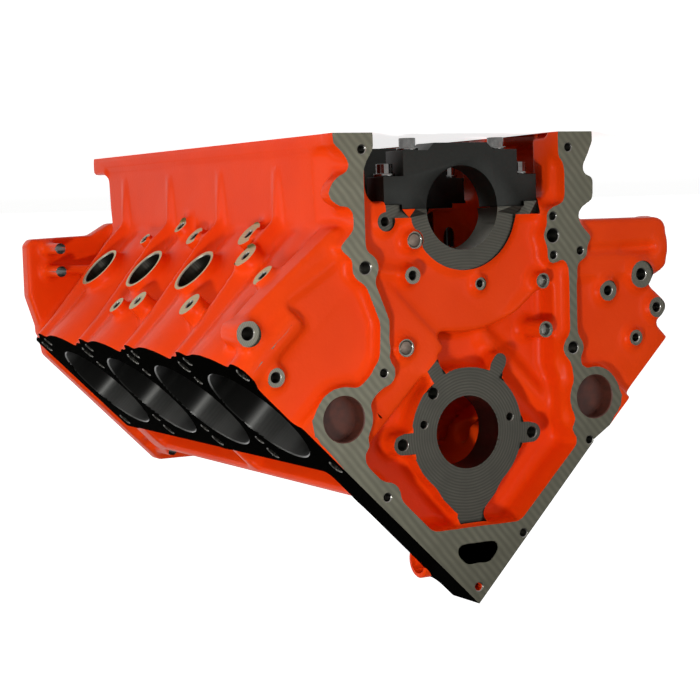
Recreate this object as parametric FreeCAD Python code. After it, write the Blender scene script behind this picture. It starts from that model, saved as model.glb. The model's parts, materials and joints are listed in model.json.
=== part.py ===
import FreeCAD, Part
import math
import os

# Bare V8 engine block: one iron casting with its main bearing caps bolted in.
# Millimetres. X runs to the engine's left bank, Y from the front face to the rear, Z up to the valley.
# The origin is on the crank axis, in the plane of the front cover face.

# ---- driving dimensions: the engine's layout ----
BORE_DIAMETER = 104.0
BORE_PITCH = 113.3
CYLINDERS_PER_BANK = 4
BANK_HALF_ANGLE = 45.0
DECK_HEIGHT = 235.0
FIRST_BORE_Y = 70.0
BANK_STAGGER = 24.0
REAR_FLANGE_STANDOFF = 32.45
PAN_RAIL_DROP = 62.0
MAIN_BORE_DIAMETER = 69.9
CAM_HEIGHT = 188.0
CAM_BORE_DIAMETER = 61.6

# ---- banks, in each bank's own frame: W outwards across the deck, T up the cylinder axis ----
BARREL_FOOT = 96.0
JACKET_RADIUS = 77.0
BARREL_WALL = 6.5
CASTING_WALL = 7.0
BANK_OUTER_W = 66.0
BANK_INNER_W = 68.0
BANK_FRONT_Y = 10.0
BANK_REAR_MARGIN = 16.0
JACKET_FOOT = 128.0
JACKET_ROOF_GAP = 12.0
HEAD_BOLT_RADIUS = 6.0
HEAD_BOLT_DEPTH = 55.0
HEAD_BOLT_BOSS_RADIUS = 14.0
SMALL_BOLT_RADIUS = 4.2
SMALL_BOLT_DEPTH = 22.0
SMALL_BOLT_OFFSET = 36.0
SMALL_BOLT_W = 65.0
SMALL_BOLT_BOSS_RADIUS = 13.0
COOLANT_HOLE_RADIUS = 4.0
COOLANT_HOLE_W = 39.0
CORE_PLUG_RADIUS = 19.0
CORE_PLUG_BOSS_RADIUS = 23.0
CORE_PLUG_T = 153.0
CORE_PLUG_FACE_W = 86.0
RIB_WIDTH = 7.0
RIB_CREST_W = 86.0
RIB_Y_OFFSET = 40.0
RIB_FOOT_DROP = 12.0
CORNER_WEB_RISE = 90.0
CORNER_WEB_HEIGHT = 120.0
RIB_CREST_RISE = 24.0

# ---- lifter galleries and valley ----
GALLERY_OUTER_W = 101.0
GALLERY_FLOOR_T = 205.0
GALLERY_WALL = 8.0
GALLERY_RAIL_DROP = 4.0
GALLERY_END_WEB = 14.0
LIFTER_RADIUS = 10.7
LIFTER_HALF_SPACING = 17.0
LIFTER_SEAT_T = 168.0
VALLEY_FLOOR_Z = 232.0
VALLEY_FLOOR_THICKNESS = 9.0

# ---- crankcase ----
SKIRT_KNEE_X = 121.0
SKIRT_KNEE_Z = 15.0
SKIRT_WALL = 9.0
SKIRT_TOP_RISE = 20.0
SKIRT_RAIL_FLARE = 3.0
SKIRT_FIN_PROUD = 6.0
SKIRT_FIN_FOOT_Z = -37.0
PAN_RAIL_OUTER_X = 126.5
PAN_RAIL_INNER_X = 103.0
PAN_RAIL_THICKNESS = 10.0
PAN_RAIL_LUG_THICKNESS = 17.0
PAN_BOLT_COUNT = 8
PAN_BOLT_END_MARGIN = 20.0
PAN_BOLT_X = 113.0
PAN_BOLT_RADIUS = 4.2
PAN_BOLT_DEPTH = 9.0
SKIRT_REAR_MARGIN = 2.45
SKIRT_FRONT_X = 110.0
SKIRT_CORNER_Y = 44.0
BULKHEAD_THICKNESS = 28.0
BULKHEAD_TOP_T = 105.0
BULKHEAD_INNER_W = -60.0
BULKHEAD_OUTER_W = 60.0
CRANK_SEAL_RADIUS = 100.0

# ---- main bearing caps and their bolts ----
CAP_HALF_WIDTH = 75.0
CAP_SLOT_CLEARANCE = 15.0
CAP_REGISTER_X = 60.0
CAP_REGISTER_DEPTH = 4.0
CAP_SHOULDER_X = 56.0
CAP_SHOULDER_DROP = 27.0
CAP_TOP_DROP = 48.0
CAP_CROWN_X = 26.0
CAP_CROWN_DROP = 54.0
INNER_BOLT_X = 43.5
OUTER_BOLT_X = 66.0
INNER_SHANK_RADIUS = 5.5
OUTER_SHANK_RADIUS = 5.0
INNER_BOLT_GRIP = 92.0
OUTER_BOLT_GRIP = 62.0
SHANK_CLEARANCE = 0.3
BOLT_HOLE_SPARE = 4.0
BOLT_FLANGE_RADIUS = 9.0
BOLT_FLANGE_HEIGHT = 2.5
BOLT_HEAD_RADIUS = 7.0
BOLT_HEAD_ROOT_RADIUS = 6.3
BOLT_HEAD_HEIGHT = 8.0
BOLT_HEAD_POINTS = 12

# ---- front cover face, timing case and cam plate ----
FLANGE_THICKNESS = 16.0
MAIN_RING_RADIUS = 52.0
APEX_PLATE_HEIGHT = 66.0
APEX_SCREW_Z = 318.0
APEX_BOSS_RADIUS = 21.0
CASE_FLOOR_Y = 13.5
CASE_ARC_RADIUS = 99.0
CASE_ARC_Z = 5.0
HEAD_BOLT_COLUMN_WALL = 4.5
DEEP_CASE_FLOOR_Y = 33.0
FRONT_WALL_REAR_Y = 42.0
CAM_PLATE_RADIUS = 55.0
WATER_PORT_X = 124.0
WATER_PORT_Z = 166.5
WATER_PORT_RADIUS = 18.5
WATER_PORT_DEPTH = 13.0
WATER_PASSAGE_REACH = 40.0
WATER_PASSAGE_WIDTH = 14.8
WATER_PASSAGE_HEIGHT = 20.0
COVER_SCREW_RADIUS = 3.4
COVER_SCREW_DEPTH = 14.0

# ---- rear face ----
BELL_FLANGE_THICKNESS = 18.0
BELL_BOLT_RADIUS = 5.5
BELL_DOWEL_RADIUS = 6.0
BELL_DOWEL_PROUD = 10.0
CAM_PLUG_THICKNESS = 6.0
CAM_PLUG_RADIUS = 32.0
CAM_PLUG_GAP = 2.0

FAR = 600.0
DEEP = 60.0

PAN_RAIL_Z = -PAN_RAIL_DROP
COS_BANK = math.cos(math.radians(BANK_HALF_ANGLE))
SIN_BANK = math.sin(math.radians(BANK_HALF_ANGLE))
BORE_RADIUS = BORE_DIAMETER / 2
BARREL_RADIUS = BORE_RADIUS + BARREL_WALL
MAIN_RADIUS = MAIN_BORE_DIAMETER / 2
CAM_RADIUS = CAM_BORE_DIAMETER / 2
MAIN_COUNT = CYLINDERS_PER_BANK + 1
FIRST_MAIN_Y = FIRST_BORE_Y + BANK_STAGGER / 2 - BORE_PITCH / 2
DECK_APEX_Z = DECK_HEIGHT / COS_BANK
HALF_PITCH = BORE_PITCH / 2
LAST_BULKHEAD_REAR_Y = FIRST_MAIN_Y + CYLINDERS_PER_BANK * BORE_PITCH + BULKHEAD_THICKNESS / 2
BLOCK_LENGTH = LAST_BULKHEAD_REAR_Y + REAR_FLANGE_STANDOFF
SKIRT_REAR_Y = LAST_BULKHEAD_REAR_Y + SKIRT_REAR_MARGIN
MAIN_RING_FACE_Y = FIRST_MAIN_Y - BULKHEAD_THICKNESS / 2
GALLERY_RAIL_T = DECK_HEIGHT - GALLERY_RAIL_DROP

# The narrow legs of the cover face, down from the water ports to the feet: bars as two (X, Z) ends
# and a width, then flat pads as outlines in (X, Z).
LEFT_LEG_BARS = [
    ((101, 145), (86, 132), 16),
    ((86, 132), (84, 90), 9.2),
    ((84, 90), (100, 50), 9.2),
    ((104.3, 44), (104.3, -34), 9.4),
]
LEFT_LEG_PADS = [
    [(104, -1), (112, -4), (122, -3), (131, -9), (133, -15), (128, -24), (121, -29), (111, -31), (104, -36)],
    [(128, PAN_RAIL_Z), (127, -55), (118, -45), (110, -33),
     (99, -33), (95, -44), (87, -52), (87, PAN_RAIL_Z)],
]
RIGHT_LEG_BARS = [
    ((-106, 145), (-103, 124), 10),
    ((-103, 124), (-103.3, 46), 8.6),
    ((-102.5, 6), (-102.5, -34), 13),
]
RIGHT_LEG_PADS = [
    [(-84, 1), (-77, 8), (-77, 40), (-84, 49), (-94, 46), (-112, 46), (-118, 40), (-112, 30), (-110, 4),
     (-97, -2)],
    [(-103, -32), (-112, -28), (-126.4, -23), (-126, -4), (-112, 4), (-103, 4)],
    [(-89, PAN_RAIL_Z), (-123.3, PAN_RAIL_Z), (-123.3, -46), (-118, -36), (-109, -31), (-97, -32),
     (-90, -42)],
]

# The deep part of the timing case, and the left half of the pocket under the apex screw.
DEEP_CASE_OUTLINE = [
    (22, 95), (92, 165.5), (94, 182), (107, 198), (99, 210), (75, 230), (60, 249), (44, 265),
    (-44, 265), (-60, 249), (-104, 205), (-96, 186), (-95, 150), (-90, 136), (-90, 60), (-60, 70),
]
APEX_WINDOW_HALF = [(28, 280.5), (10, 299)]

# Cast ridges over the oil galleries of the front walls: radius and two (X, Y, Z) ends.
FRONT_RIDGES = [
    (9.0, (112, 17, 33), (200, 17, 88)),
    (7.5, (106, 17, 58), (180, 17, 127)),
    (5.0, (113, 10, 140), (150, 11, 168)),
    (8.0, (-74.7, 17, 105.5), (-2, 25, 130)),
    (4.0, (55.8, 12, 54), (100.5, 12, 46)),
    (9.0, (-112, 17, 55), (-180, 22, 63)),
    (7.0, (-106, 17, 118), (-173, 19, 118)),
]

# The arm and round pad of the oil filter, on the right-hand side.
FILTER_PAD_X = -211.0
FILTER_PAD_THICKNESS = 12.0
FILTER_PAD_RADIUS = 27.0
FILTER_PAD_Y = 30.0
FILTER_PAD_Z = 39.0
FILTER_ARM_BARS = [
    (24.0, 22.0),
    (54.0, 17.0),
]
FILTER_ARM_SPAN_Y = (6.0, 34.0)
FILTER_WEB_SPAN_Y = (14.0, 28.0)

# The hose stub behind the front wall, over the valley.
VALLEY_PIPE_Z = 303.0
VALLEY_PIPE_RADIUS = 13.0
VALLEY_PIPE_BORE_RADIUS = 9.5
VALLEY_PIPE_SPAN_X = (-12.0, 25.0)
VALLEY_PIPE_ROOT_WIDTH = 20.0
VALLEY_PIPE_ROOT_DROP = 22.0

# The bell housing flange beyond the banks, its left half, and the gussets under it: Z, root X, reach X.
REAR_FLANGE_HALF = [
    (117, 5), (138, 17), (203, 19), (208, 25), (208, 77), (196, 115),
]
REAR_FLANGE_TOP_W = 38.0
REAR_FLANGE_TOP_X = 72.0
REAR_GUSSETS = [
    (47.0, 135.0, 185.0),
    (92.0, 165.0, 180.0),
]
REAR_GUSSET_RUN = 70.0
REAR_GUSSET_FOOT = 25.0
REAR_GUSSET_THICKNESS = 8.0
BELL_BOLT_DEPTH = 30.0
BELL_DOWEL_SEAT = 12.0
BELL_BOLTS = [
    (187.0, 29.0),
    (187.0, 52.0),
    (180.0, 133.0),
    (128.0, 189.0),
    (74.0, 243.0),
]
BELL_DOWELS = [
    (158.0, 40.0),
]

# Side bosses on the left bank: distance from the front face, T, radius.
SIDE_BOSSES = [
    (44.0, 156.0, 10.5),
    (105.0, 135.0, 12.0),
    (134.0, 110.0, 13.0),
    (135.0, 191.0, 12.0),
    (245.0, 112.0, 10.5),
    (249.0, 191.0, 11.0),
    (288.0, 198.0, 9.0),
    (295.0, 99.0, 8.5),
    (356.0, 115.0, 7.0),
]
SIDE_BOSS_HOLE_RADIUS = 4.0
SIDE_BOSS_DEPTH = 14.0

# Cover face screw bosses: X, Z, boss radius.
COVER_SCREWS = [
    (86.0, 132.0, 11.0),
    (86.0, 233.5, 13.0),
    (101.0, -48.5, 9.0),
    (-101.0, -48.5, 10.0),
    (-117.7, 203.9, 10.0),
    (-46.4, 277.4, 9.0),
    (0.0, APEX_SCREW_Z, 9.0),
    (-83.8, 9.6, 7.0),
    (-83.8, 42.7, 7.0),
    (-111.7, 40.0, 7.5),
]
COVER_DOWELS = [
    (100.5, 46.2, 12.5),
    (-102.4, 122.8, 11.0),
]
COVER_DOWEL_RADIUS = 5.0
OIL_FEED_X = -83.5
OIL_FEED_Z = 26.0
OIL_FEED_RADIUS = 6.0
OIL_FEED_BOSS_RADIUS = 10.0

# Accessory bosses that stand forward of the bank ends: X, Z, radius, face Y, hole radius.
ACCESSORY_BOSSES = [
    (205.0, 93.0, 10.5, 4.0, 5.0),
    (182.0, 129.0, 8.0, 4.0, 4.0),
    (-180.0, 63.0, 12.0, 4.0, 5.0),
    (-143.5, 75.7, 9.0, 4.0, 4.0),
    (-198.0, 93.0, 9.0, 6.0, 4.0),
    (-173.0, 118.5, 7.0, 4.0, 3.4),
]
ACCESSORY_BOSS_REAR_Y = 36.0
ACCESSORY_HOLE_DEPTH = 20.0

# Bosses inside the timing case: X, Z, radius, face Y, hole radius, hole depth.
CASE_BOSSES = [
    (74.6, 9.7, 8.0, MAIN_RING_FACE_Y, 3.4, 14.0),
    (55.8, 54.0, 7.5, 1.0, 3.4, 14.0),
    (-14.4, 64.0, 5.5, 9.0, 3.0, 12.0),
    (-72.8, 64.0, 7.0, 1.0, 4.5, 3.0),
    (-74.7, 105.5, 7.5, 1.0, 4.5, 3.0),
]
GALLERY_PLUGS = [
    (51.5, 25.6),
    (62.0, 113.0),
]
GALLERY_PLUG_RADIUS = 5.5
GALLERY_PLUG_LENGTH = 8.0
GALLERY_PLUG_BOSS_RADIUS = 7.5
GALLERY_PLUG_FACE_Y = 4.0

# Cam plate face: screw holes and ears as X, Z, ear radius, hole radius.
CAM_PLATE_EARS = [
    (63.5, 193.7, 9.0, 4.5),
    (-65.0, 193.7, 9.0, 4.5),
    (34.0, 130.0, 7.0, 0.0),
    (-34.0, 130.0, 7.0, 0.0),
    (33.0, 153.0, 5.0, 4.5),
    (42.7, 178.5, 4.0, 3.0),
    (-42.7, 178.5, 4.0, 3.0),
]
EAR_ROOT_SHARE = 0.6
CAM_PLATE_TAB_HALF_WIDTH = 13.0
CAM_PLATE_TAB_Z = 263.0
CAM_PLATE_HOLE_DEPTH = 16.0


def vector(x, y, z):
    return FreeCAD.Vector(x, y, z)


def box(x_range, y_range, z_range):
    size = [high - low for low, high in (x_range, y_range, z_range)]
    return Part.makeBox(*size, vector(x_range[0], y_range[0], z_range[0]))


def rod(radius, start, end):
    run = end - start
    return Part.makeCylinder(radius, run.Length, start, run)


def fused(shapes):
    whole = shapes[0].fuse(shapes[1:]) if len(shapes) > 1 else shapes[0]
    return whole.removeSplitter()


def prism_y(outline, y_start, y_end):
    """A closed outline of (x, z) points, run from y_start to y_end."""
    points = [vector(x, y_start, z) for x, z in outline]
    face = Part.Face(Part.makePolygon(points + points[:1]))
    return face.extrude(vector(0, y_end - y_start, 0))


def mirrored_outline(half):
    """An outline that is the same on both sides of the crank axis, from its left half."""
    return half + [(-x, z) for x, z in reversed(half)]


def rod_y(radius, x, z, y_start, y_end):
    return rod(radius, vector(x, y_start, z), vector(x, y_end, z))


def strap_y(start, end, width, y_start, y_end):
    """A straight bar with round ends between two (x, z) points, as on a gasket face."""
    (x1, z1), (x2, z2) = start, end
    length = math.hypot(x2 - x1, z2 - z1)
    off_x = -(z2 - z1) / length * width / 2
    off_z = (x2 - x1) / length * width / 2
    corners = [
        (x1 + off_x, z1 + off_z),
        (x2 + off_x, z2 + off_z),
        (x2 - off_x, z2 - off_z),
        (x1 - off_x, z1 - off_z),
    ]
    bar = prism_y(corners, y_start, y_end)
    ends = [rod_y(width / 2, x, z, y_start, y_end) for x, z in (start, end)]
    return bar.fuse(ends)


def bank_point(w, t):
    """The (x, z) place of a point of the left bank's own frame."""
    return (t * SIN_BANK + w * COS_BANK, t * COS_BANK - w * SIN_BANK)


def bank_frame(x, z):
    """The (w, t) place, in the left bank's own frame, of a point of the front face."""
    return ((x - z) * COS_BANK, (x + z) * SIN_BANK)


def in_bank(shape, side):
    """Turn a shape from the bank's own frame (W, Y, T) into place, on the left (1) or right (-1)."""
    placed = shape.copy()
    placed.rotate(vector(0, 0, 0), vector(0, 1, 0), BANK_HALF_ANGLE)
    if side < 0:
        placed = placed.mirror(vector(0, 0, 0), vector(1, 0, 0))
    return placed


def first_bore_y(side):
    return FIRST_BORE_Y if side > 0 else FIRST_BORE_Y + BANK_STAGGER


def bore_stations(side):
    return [first_bore_y(side) + BORE_PITCH * i for i in range(CYLINDERS_PER_BANK)]


def bolt_stations(side):
    """Head bolt rows stand half a pitch before the first bore, and half a pitch after each."""
    stations = [y + HALF_PITCH for y in bore_stations(side)]
    return [stations[0] - BORE_PITCH] + stations


def bank_rear_y(side):
    return bolt_stations(side)[-1] + BANK_REAR_MARGIN


def main_stations():
    return [FIRST_MAIN_Y + BORE_PITCH * i for i in range(MAIN_COUNT)]


# ---- the banks ----
def bank_rib(y):
    """A rib down the outside of a bank, deepest where it meets the skirt."""
    outline = [
        (BANK_OUTER_W - GALLERY_WALL, BARREL_FOOT),
        (RIB_CREST_W, BARREL_FOOT - RIB_FOOT_DROP),
        (RIB_CREST_W, BARREL_FOOT + RIB_CREST_RISE),
        (JACKET_RADIUS - 1, DECK_HEIGHT - JACKET_ROOF_GAP),
        (BANK_OUTER_W - GALLERY_WALL, DECK_HEIGHT - JACKET_ROOF_GAP),
    ]
    return prism_y(outline, y - RIB_WIDTH / 2, y + RIB_WIDTH / 2)


def bank_side_bosses(side):
    """Threaded pads that face outwards along W on the side of a bank."""
    shapes = []
    root = BANK_OUTER_W - GALLERY_WALL
    shift = first_bore_y(side) - FIRST_BORE_Y
    for y, t, radius in SIDE_BOSSES:
        shapes.append(rod(radius, vector(root, y + shift, t), vector(CORE_PLUG_FACE_W, y + shift, t)))
    for y in bore_stations(side)[1:]:
        start = vector(root, y, CORE_PLUG_T)
        shapes.append(rod(CORE_PLUG_BOSS_RADIUS, start, vector(CORE_PLUG_FACE_W, y, CORE_PLUG_T)))
    return shapes


def bank_solid(side):
    rear = bank_rear_y(side)
    span = (BANK_FRONT_Y, rear)
    height = (BARREL_FOOT, DECK_HEIGHT)
    slab = box((-BANK_INNER_W, BANK_OUTER_W), span, height)
    limit = box((-BANK_INNER_W, FAR), span, height)
    foot = vector(0, 0, BARREL_FOOT)
    rise = vector(0, 0, DECK_HEIGHT)
    lobes = []
    for y in bore_stations(side):
        along = vector(0, y, 0)
        lobes.append(rod(JACKET_RADIUS, foot + along, rise + along))
        beside = vector(SMALL_BOLT_W, y + SMALL_BOLT_OFFSET, 0)
        lobes.append(rod(SMALL_BOLT_BOSS_RADIUS, foot + beside, rise + beside))
    for y in bolt_stations(side):
        beside = vector(HALF_PITCH, y, 0)
        lobes.append(rod(HEAD_BOLT_BOSS_RADIUS, foot + beside, rise + beside))
    body = slab.fuse([lobe.common(limit) for lobe in lobes])
    first_bolt = vector(HALF_PITCH, bolt_stations(side)[0], 0)
    column_foot = vector(0, 0, DECK_HEIGHT - HEAD_BOLT_DEPTH - CASTING_WALL)
    column = rod(HEAD_BOLT_BOSS_RADIUS, column_foot + first_bolt, rise + first_bolt)
    body = body.fuse(column.common(box((0, FAR), (0, rear), height)))
    extras = [bank_rib(y + RIB_Y_OFFSET) for y in bore_stations(side)]
    extras += bank_side_bosses(side)
    return fused([body] + extras)


def lifter_block(side):
    """The wall that carries the lifter bores along the valley side of a bank."""
    outer = -BANK_INNER_W + GALLERY_WALL
    rail = -GALLERY_OUTER_W - GALLERY_WALL
    cam_w = (0 - CAM_HEIGHT) * SIN_BANK
    outline = [
        (outer, GALLERY_RAIL_T),
        (rail, GALLERY_RAIL_T),
        (cam_w, LIFTER_SEAT_T + GALLERY_WALL),
        (rail, LIFTER_SEAT_T - GALLERY_WALL),
        (outer, LIFTER_SEAT_T + 2 * GALLERY_WALL),
    ]
    return prism_y(outline, BANK_FRONT_Y, bank_rear_y(side))


def jacket_void(side):
    """The cast water space round the barrels, reached through the core plugs and the ports."""
    bores = bore_stations(side)
    inner_limit = BANK_INNER_W - CASTING_WALL
    outer_limit = JACKET_RADIUS - CASTING_WALL
    span = (bores[0] - BARREL_RADIUS + CASTING_WALL, bank_rear_y(side) - CASTING_WALL)
    roof = DECK_HEIGHT - JACKET_ROOF_GAP
    limit = box((-inner_limit, outer_limit), span, (JACKET_FOOT, roof))
    rings = [rod(outer_limit, vector(0, y, JACKET_FOOT), vector(0, y, roof)) for y in bores]
    water = rings[0].fuse(rings[1:]).common(limit)
    iron = [rod(BARREL_RADIUS, vector(0, y, 0), vector(0, y, FAR)) for y in bores]
    for y in bolt_stations(side):
        for w in (-HALF_PITCH, HALF_PITCH):
            iron.append(rod(HEAD_BOLT_BOSS_RADIUS, vector(w, y, 0), vector(w, y, FAR)))
    return water.cut(iron)


def gallery_pockets(side):
    """The open lifter galleries beside the deck, split by one web in the middle of the bank."""
    bores = bore_stations(side)
    middle = (bores[1] + bores[2]) / 2
    width = (-GALLERY_OUTER_W, -BANK_INNER_W)
    height = (GALLERY_FLOOR_T, FAR)
    reach = HALF_PITCH - GALLERY_END_WEB
    start = max(bores[0] - reach, FRONT_WALL_REAR_Y)
    front = box(width, (start, middle - GALLERY_END_WEB / 2), height)
    rear = box(width, (middle + GALLERY_END_WEB / 2, bores[-1] + reach), height)
    return [front, rear]


def water_passage(side):
    """The way from the round port in the front face, past the first barrel, into the jacket."""
    port_w, port_t = bank_frame(WATER_PORT_X, WATER_PORT_Z)
    centre_w = port_w - WATER_PORT_RADIUS
    half = WATER_PASSAGE_WIDTH / 2
    width = (centre_w - half, centre_w + half)
    height = (port_t - WATER_PASSAGE_HEIGHT / 2, port_t + WATER_PASSAGE_HEIGHT / 2)
    reach = bore_stations(side)[0] - WATER_PASSAGE_REACH
    return box(width, (WATER_PORT_DEPTH - 3, reach), height)


def lifter_bores(side):
    """Two lifters to a cylinder, each aimed at the cam axis."""
    cam_w = -CAM_HEIGHT * SIN_BANK
    cam_t = CAM_HEIGHT * COS_BANK
    seat_w = -(GALLERY_OUTER_W + BANK_INNER_W) / 2
    cuts = []
    for y in bore_stations(side):
        for offset in (-LIFTER_HALF_SPACING, LIFTER_HALF_SPACING):
            cam = vector(cam_w, y + offset, cam_t)
            mouth = vector(seat_w, y + offset, GALLERY_FLOOR_T)
            cuts.append(rod(LIFTER_RADIUS, cam, mouth))
    return cuts


def bank_cuts(side):
    cuts = []
    deck = DECK_HEIGHT
    for y in bore_stations(side):
        cuts.append(rod(BORE_RADIUS, vector(0, y, 0), vector(0, y, FAR)))
        small = vector(SMALL_BOLT_W, y + SMALL_BOLT_OFFSET, deck)
        cuts.append(rod(SMALL_BOLT_RADIUS, small - vector(0, 0, SMALL_BOLT_DEPTH), small))
    for y in bolt_stations(side):
        for w in (-HALF_PITCH, HALF_PITCH):
            top = vector(w, y, deck)
            cuts.append(rod(HEAD_BOLT_RADIUS, top - vector(0, 0, HEAD_BOLT_DEPTH), top))
    for y in bolt_stations(side)[1:-1]:
        for w in (-COOLANT_HOLE_W, COOLANT_HOLE_W):
            top = vector(w, y, deck)
            cuts.append(rod(COOLANT_HOLE_RADIUS, top - vector(0, 0, JACKET_ROOF_GAP + 1), top))
    face = CORE_PLUG_FACE_W
    shift = first_bore_y(side) - FIRST_BORE_Y
    for y, t, radius in SIDE_BOSSES:
        mouth = vector(face, y + shift, t)
        cuts.append(rod(SIDE_BOSS_HOLE_RADIUS, mouth - vector(SIDE_BOSS_DEPTH, 0, 0), mouth))
    for y in bore_stations(side)[1:]:
        mouth = vector(face, y, CORE_PLUG_T)
        inside = vector(JACKET_RADIUS - 2 * CASTING_WALL, y, CORE_PLUG_T)
        cuts.append(rod(CORE_PLUG_RADIUS, inside, mouth))
    return cuts + lifter_bores(side) + gallery_pockets(side)


# ---- the crankcase ----
def skirt_section(y, inward_shift):
    """The skirt's closed section at y, moved inwards near the front corner."""
    knee_in = SKIRT_KNEE_X - SKIRT_WALL
    knee_w, _ = bank_frame(SKIRT_KNEE_X, SKIRT_KNEE_Z)
    high_out = bank_point(knee_w, BARREL_FOOT + SKIRT_TOP_RISE)
    high_in = bank_point(knee_w - SKIRT_WALL, BARREL_FOOT + SKIRT_TOP_RISE)
    outline = [
        (SKIRT_KNEE_X + SKIRT_RAIL_FLARE, PAN_RAIL_Z),
        (SKIRT_KNEE_X, SKIRT_KNEE_Z),
        high_out,
        high_in,
        (knee_in, SKIRT_KNEE_Z + SKIRT_RAIL_FLARE),
        (knee_in + SKIRT_RAIL_FLARE, PAN_RAIL_Z),
    ]
    points = [vector(x - inward_shift, y, z) for x, z in outline]
    return Part.makePolygon(points + points[:1])


def skirt(side):
    inset = SKIRT_KNEE_X - SKIRT_FRONT_X
    near = skirt_section(0, inset)
    corner = skirt_section(SKIRT_CORNER_Y, 0)
    rear = skirt_section(SKIRT_REAR_Y, 0)
    body = Part.makeLoft([near, corner], True, True)
    body = body.fuse(Part.makeLoft([corner, rear], True, True))
    rail = box(
        (PAN_RAIL_INNER_X, PAN_RAIL_OUTER_X),
        (0, SKIRT_REAR_Y),
        (PAN_RAIL_Z, PAN_RAIL_Z + PAN_RAIL_THICKNESS),
    )
    lug = box(
        (PAN_RAIL_INNER_X, PAN_RAIL_OUTER_X),
        (SKIRT_REAR_Y, BLOCK_LENGTH),
        (PAN_RAIL_Z, PAN_RAIL_Z + PAN_RAIL_LUG_THICKNESS),
    )
    fins = []
    for y in bore_stations(side):
        fin = [
            (SKIRT_KNEE_X - SKIRT_WALL / 2, SKIRT_KNEE_Z),
            (SKIRT_KNEE_X + SKIRT_FIN_PROUD, 0),
            (SKIRT_KNEE_X + SKIRT_RAIL_FLARE, SKIRT_FIN_FOOT_Z),
            (SKIRT_KNEE_X - SKIRT_WALL / 2, SKIRT_FIN_FOOT_Z),
        ]
        start = y + RIB_Y_OFFSET - RIB_WIDTH / 2
        fins.append(prism_y(fin, start, start + RIB_WIDTH))
    whole = fused([body, rail, lug] + fins)
    if side < 0:
        whole = whole.mirror(vector(0, 0, 0), vector(1, 0, 0))
    return whole


def bulkhead_outline():
    """The wall round one main bearing, from the skirts up to the valley floor."""
    inside_x = SKIRT_KNEE_X - SKIRT_WALL + 1
    under_gallery = GALLERY_FLOOR_T - CASTING_WALL
    half = [
        (inside_x, PAN_RAIL_Z + CAP_REGISTER_DEPTH),
        (inside_x, SKIRT_KNEE_Z),
        bank_point(BULKHEAD_OUTER_W, BULKHEAD_TOP_T),
        bank_point(BULKHEAD_INNER_W, BULKHEAD_TOP_T),
        bank_point(BULKHEAD_INNER_W, under_gallery),
        bank_point(-GALLERY_OUTER_W, under_gallery),
        (CAM_PLATE_RADIUS + CASTING_WALL, VALLEY_FLOOR_Z - VALLEY_FLOOR_THICKNESS / 2),
    ]
    return mirrored_outline(half)


def bulkheads():
    walls = []
    for y in main_stations():
        front = y - BULKHEAD_THICKNESS / 2
        if y == main_stations()[0]:
            front = CASE_FLOOR_Y
        walls.append(prism_y(bulkhead_outline(), front, y + BULKHEAD_THICKNESS / 2))
    return walls


def cap_slots():
    """The open space in the bulkheads for the caps: a round-cornered slot and its register."""
    half_width = CAP_HALF_WIDTH + CAP_SLOT_CLEARANCE
    slot = box((-half_width, half_width), (0, SKIRT_REAR_Y), (PAN_RAIL_Z * 2, -CAP_REGISTER_DEPTH))
    top_edges = [
        edge
        for edge in slot.Edges
        if abs(edge.BoundBox.ZMin + CAP_REGISTER_DEPTH) < 0.01
        and edge.BoundBox.ZLength < 0.01
        and edge.BoundBox.XLength < 0.01
    ]
    slot = slot.makeFillet(CAP_SLOT_CLEARANCE, top_edges)
    register = box((-CAP_REGISTER_X, CAP_REGISTER_X), (0, SKIRT_REAR_Y), (PAN_RAIL_Z, 0))
    return [slot, register]


def valley_floor():
    x = bank_point(-GALLERY_OUTER_W, GALLERY_RAIL_T)[0]
    floor = box(
        (-x, x),
        (DEEP_CASE_FLOOR_Y, BLOCK_LENGTH - BELL_FLANGE_THICKNESS),
        (VALLEY_FLOOR_Z - VALLEY_FLOOR_THICKNESS, VALLEY_FLOOR_Z),
    )
    return floor


# ---- the front face ----
def deck_band(side):
    """The strip of the front face along one deck line, from the apex to the water port."""
    band_t = DECK_HEIGHT - FLANGE_THICKNESS
    port_w = (WATER_PORT_X - WATER_PORT_Z) * COS_BANK
    inner = (-DECK_HEIGHT, BULKHEAD_INNER_W)
    upper = box(inner, (0, FRONT_WALL_REAR_Y), (band_t, DECK_HEIGHT))
    outer = (-BANK_INNER_W, port_w + WATER_PORT_RADIUS + CASTING_WALL)
    lower = box(outer, (0, FLANGE_THICKNESS), (band_t - HEAD_BOLT_BOSS_RADIUS, DECK_HEIGHT))
    return in_bank(upper.fuse(lower), side)


def apex_plate():
    """The fan of iron under the apex, as thick as the front wall."""
    half = APEX_PLATE_HEIGHT
    base_z = DECK_APEX_Z - APEX_PLATE_HEIGHT
    outline = [(0, DECK_APEX_Z), (half, base_z), (-half, base_z)]
    return prism_y(outline, 0, FRONT_WALL_REAR_Y)


def apex_window():
    """The pocket under the apex screw."""
    pocket = prism_y(mirrored_outline(APEX_WINDOW_HALF), -1, DEEP_CASE_FLOOR_Y)
    return pocket.cut(rod_y(APEX_BOSS_RADIUS, 0, APEX_SCREW_Z, -DEEP, FAR))


def face_parts(bars, pads):
    """Bars with round ends and flat pads that lie in the cover face."""
    depth = (0, FLANGE_THICKNESS)
    shapes = [strap_y(start, end, width, *depth) for start, end, width in bars]
    return shapes + [prism_y(outline, *depth) for outline in pads]


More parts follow.
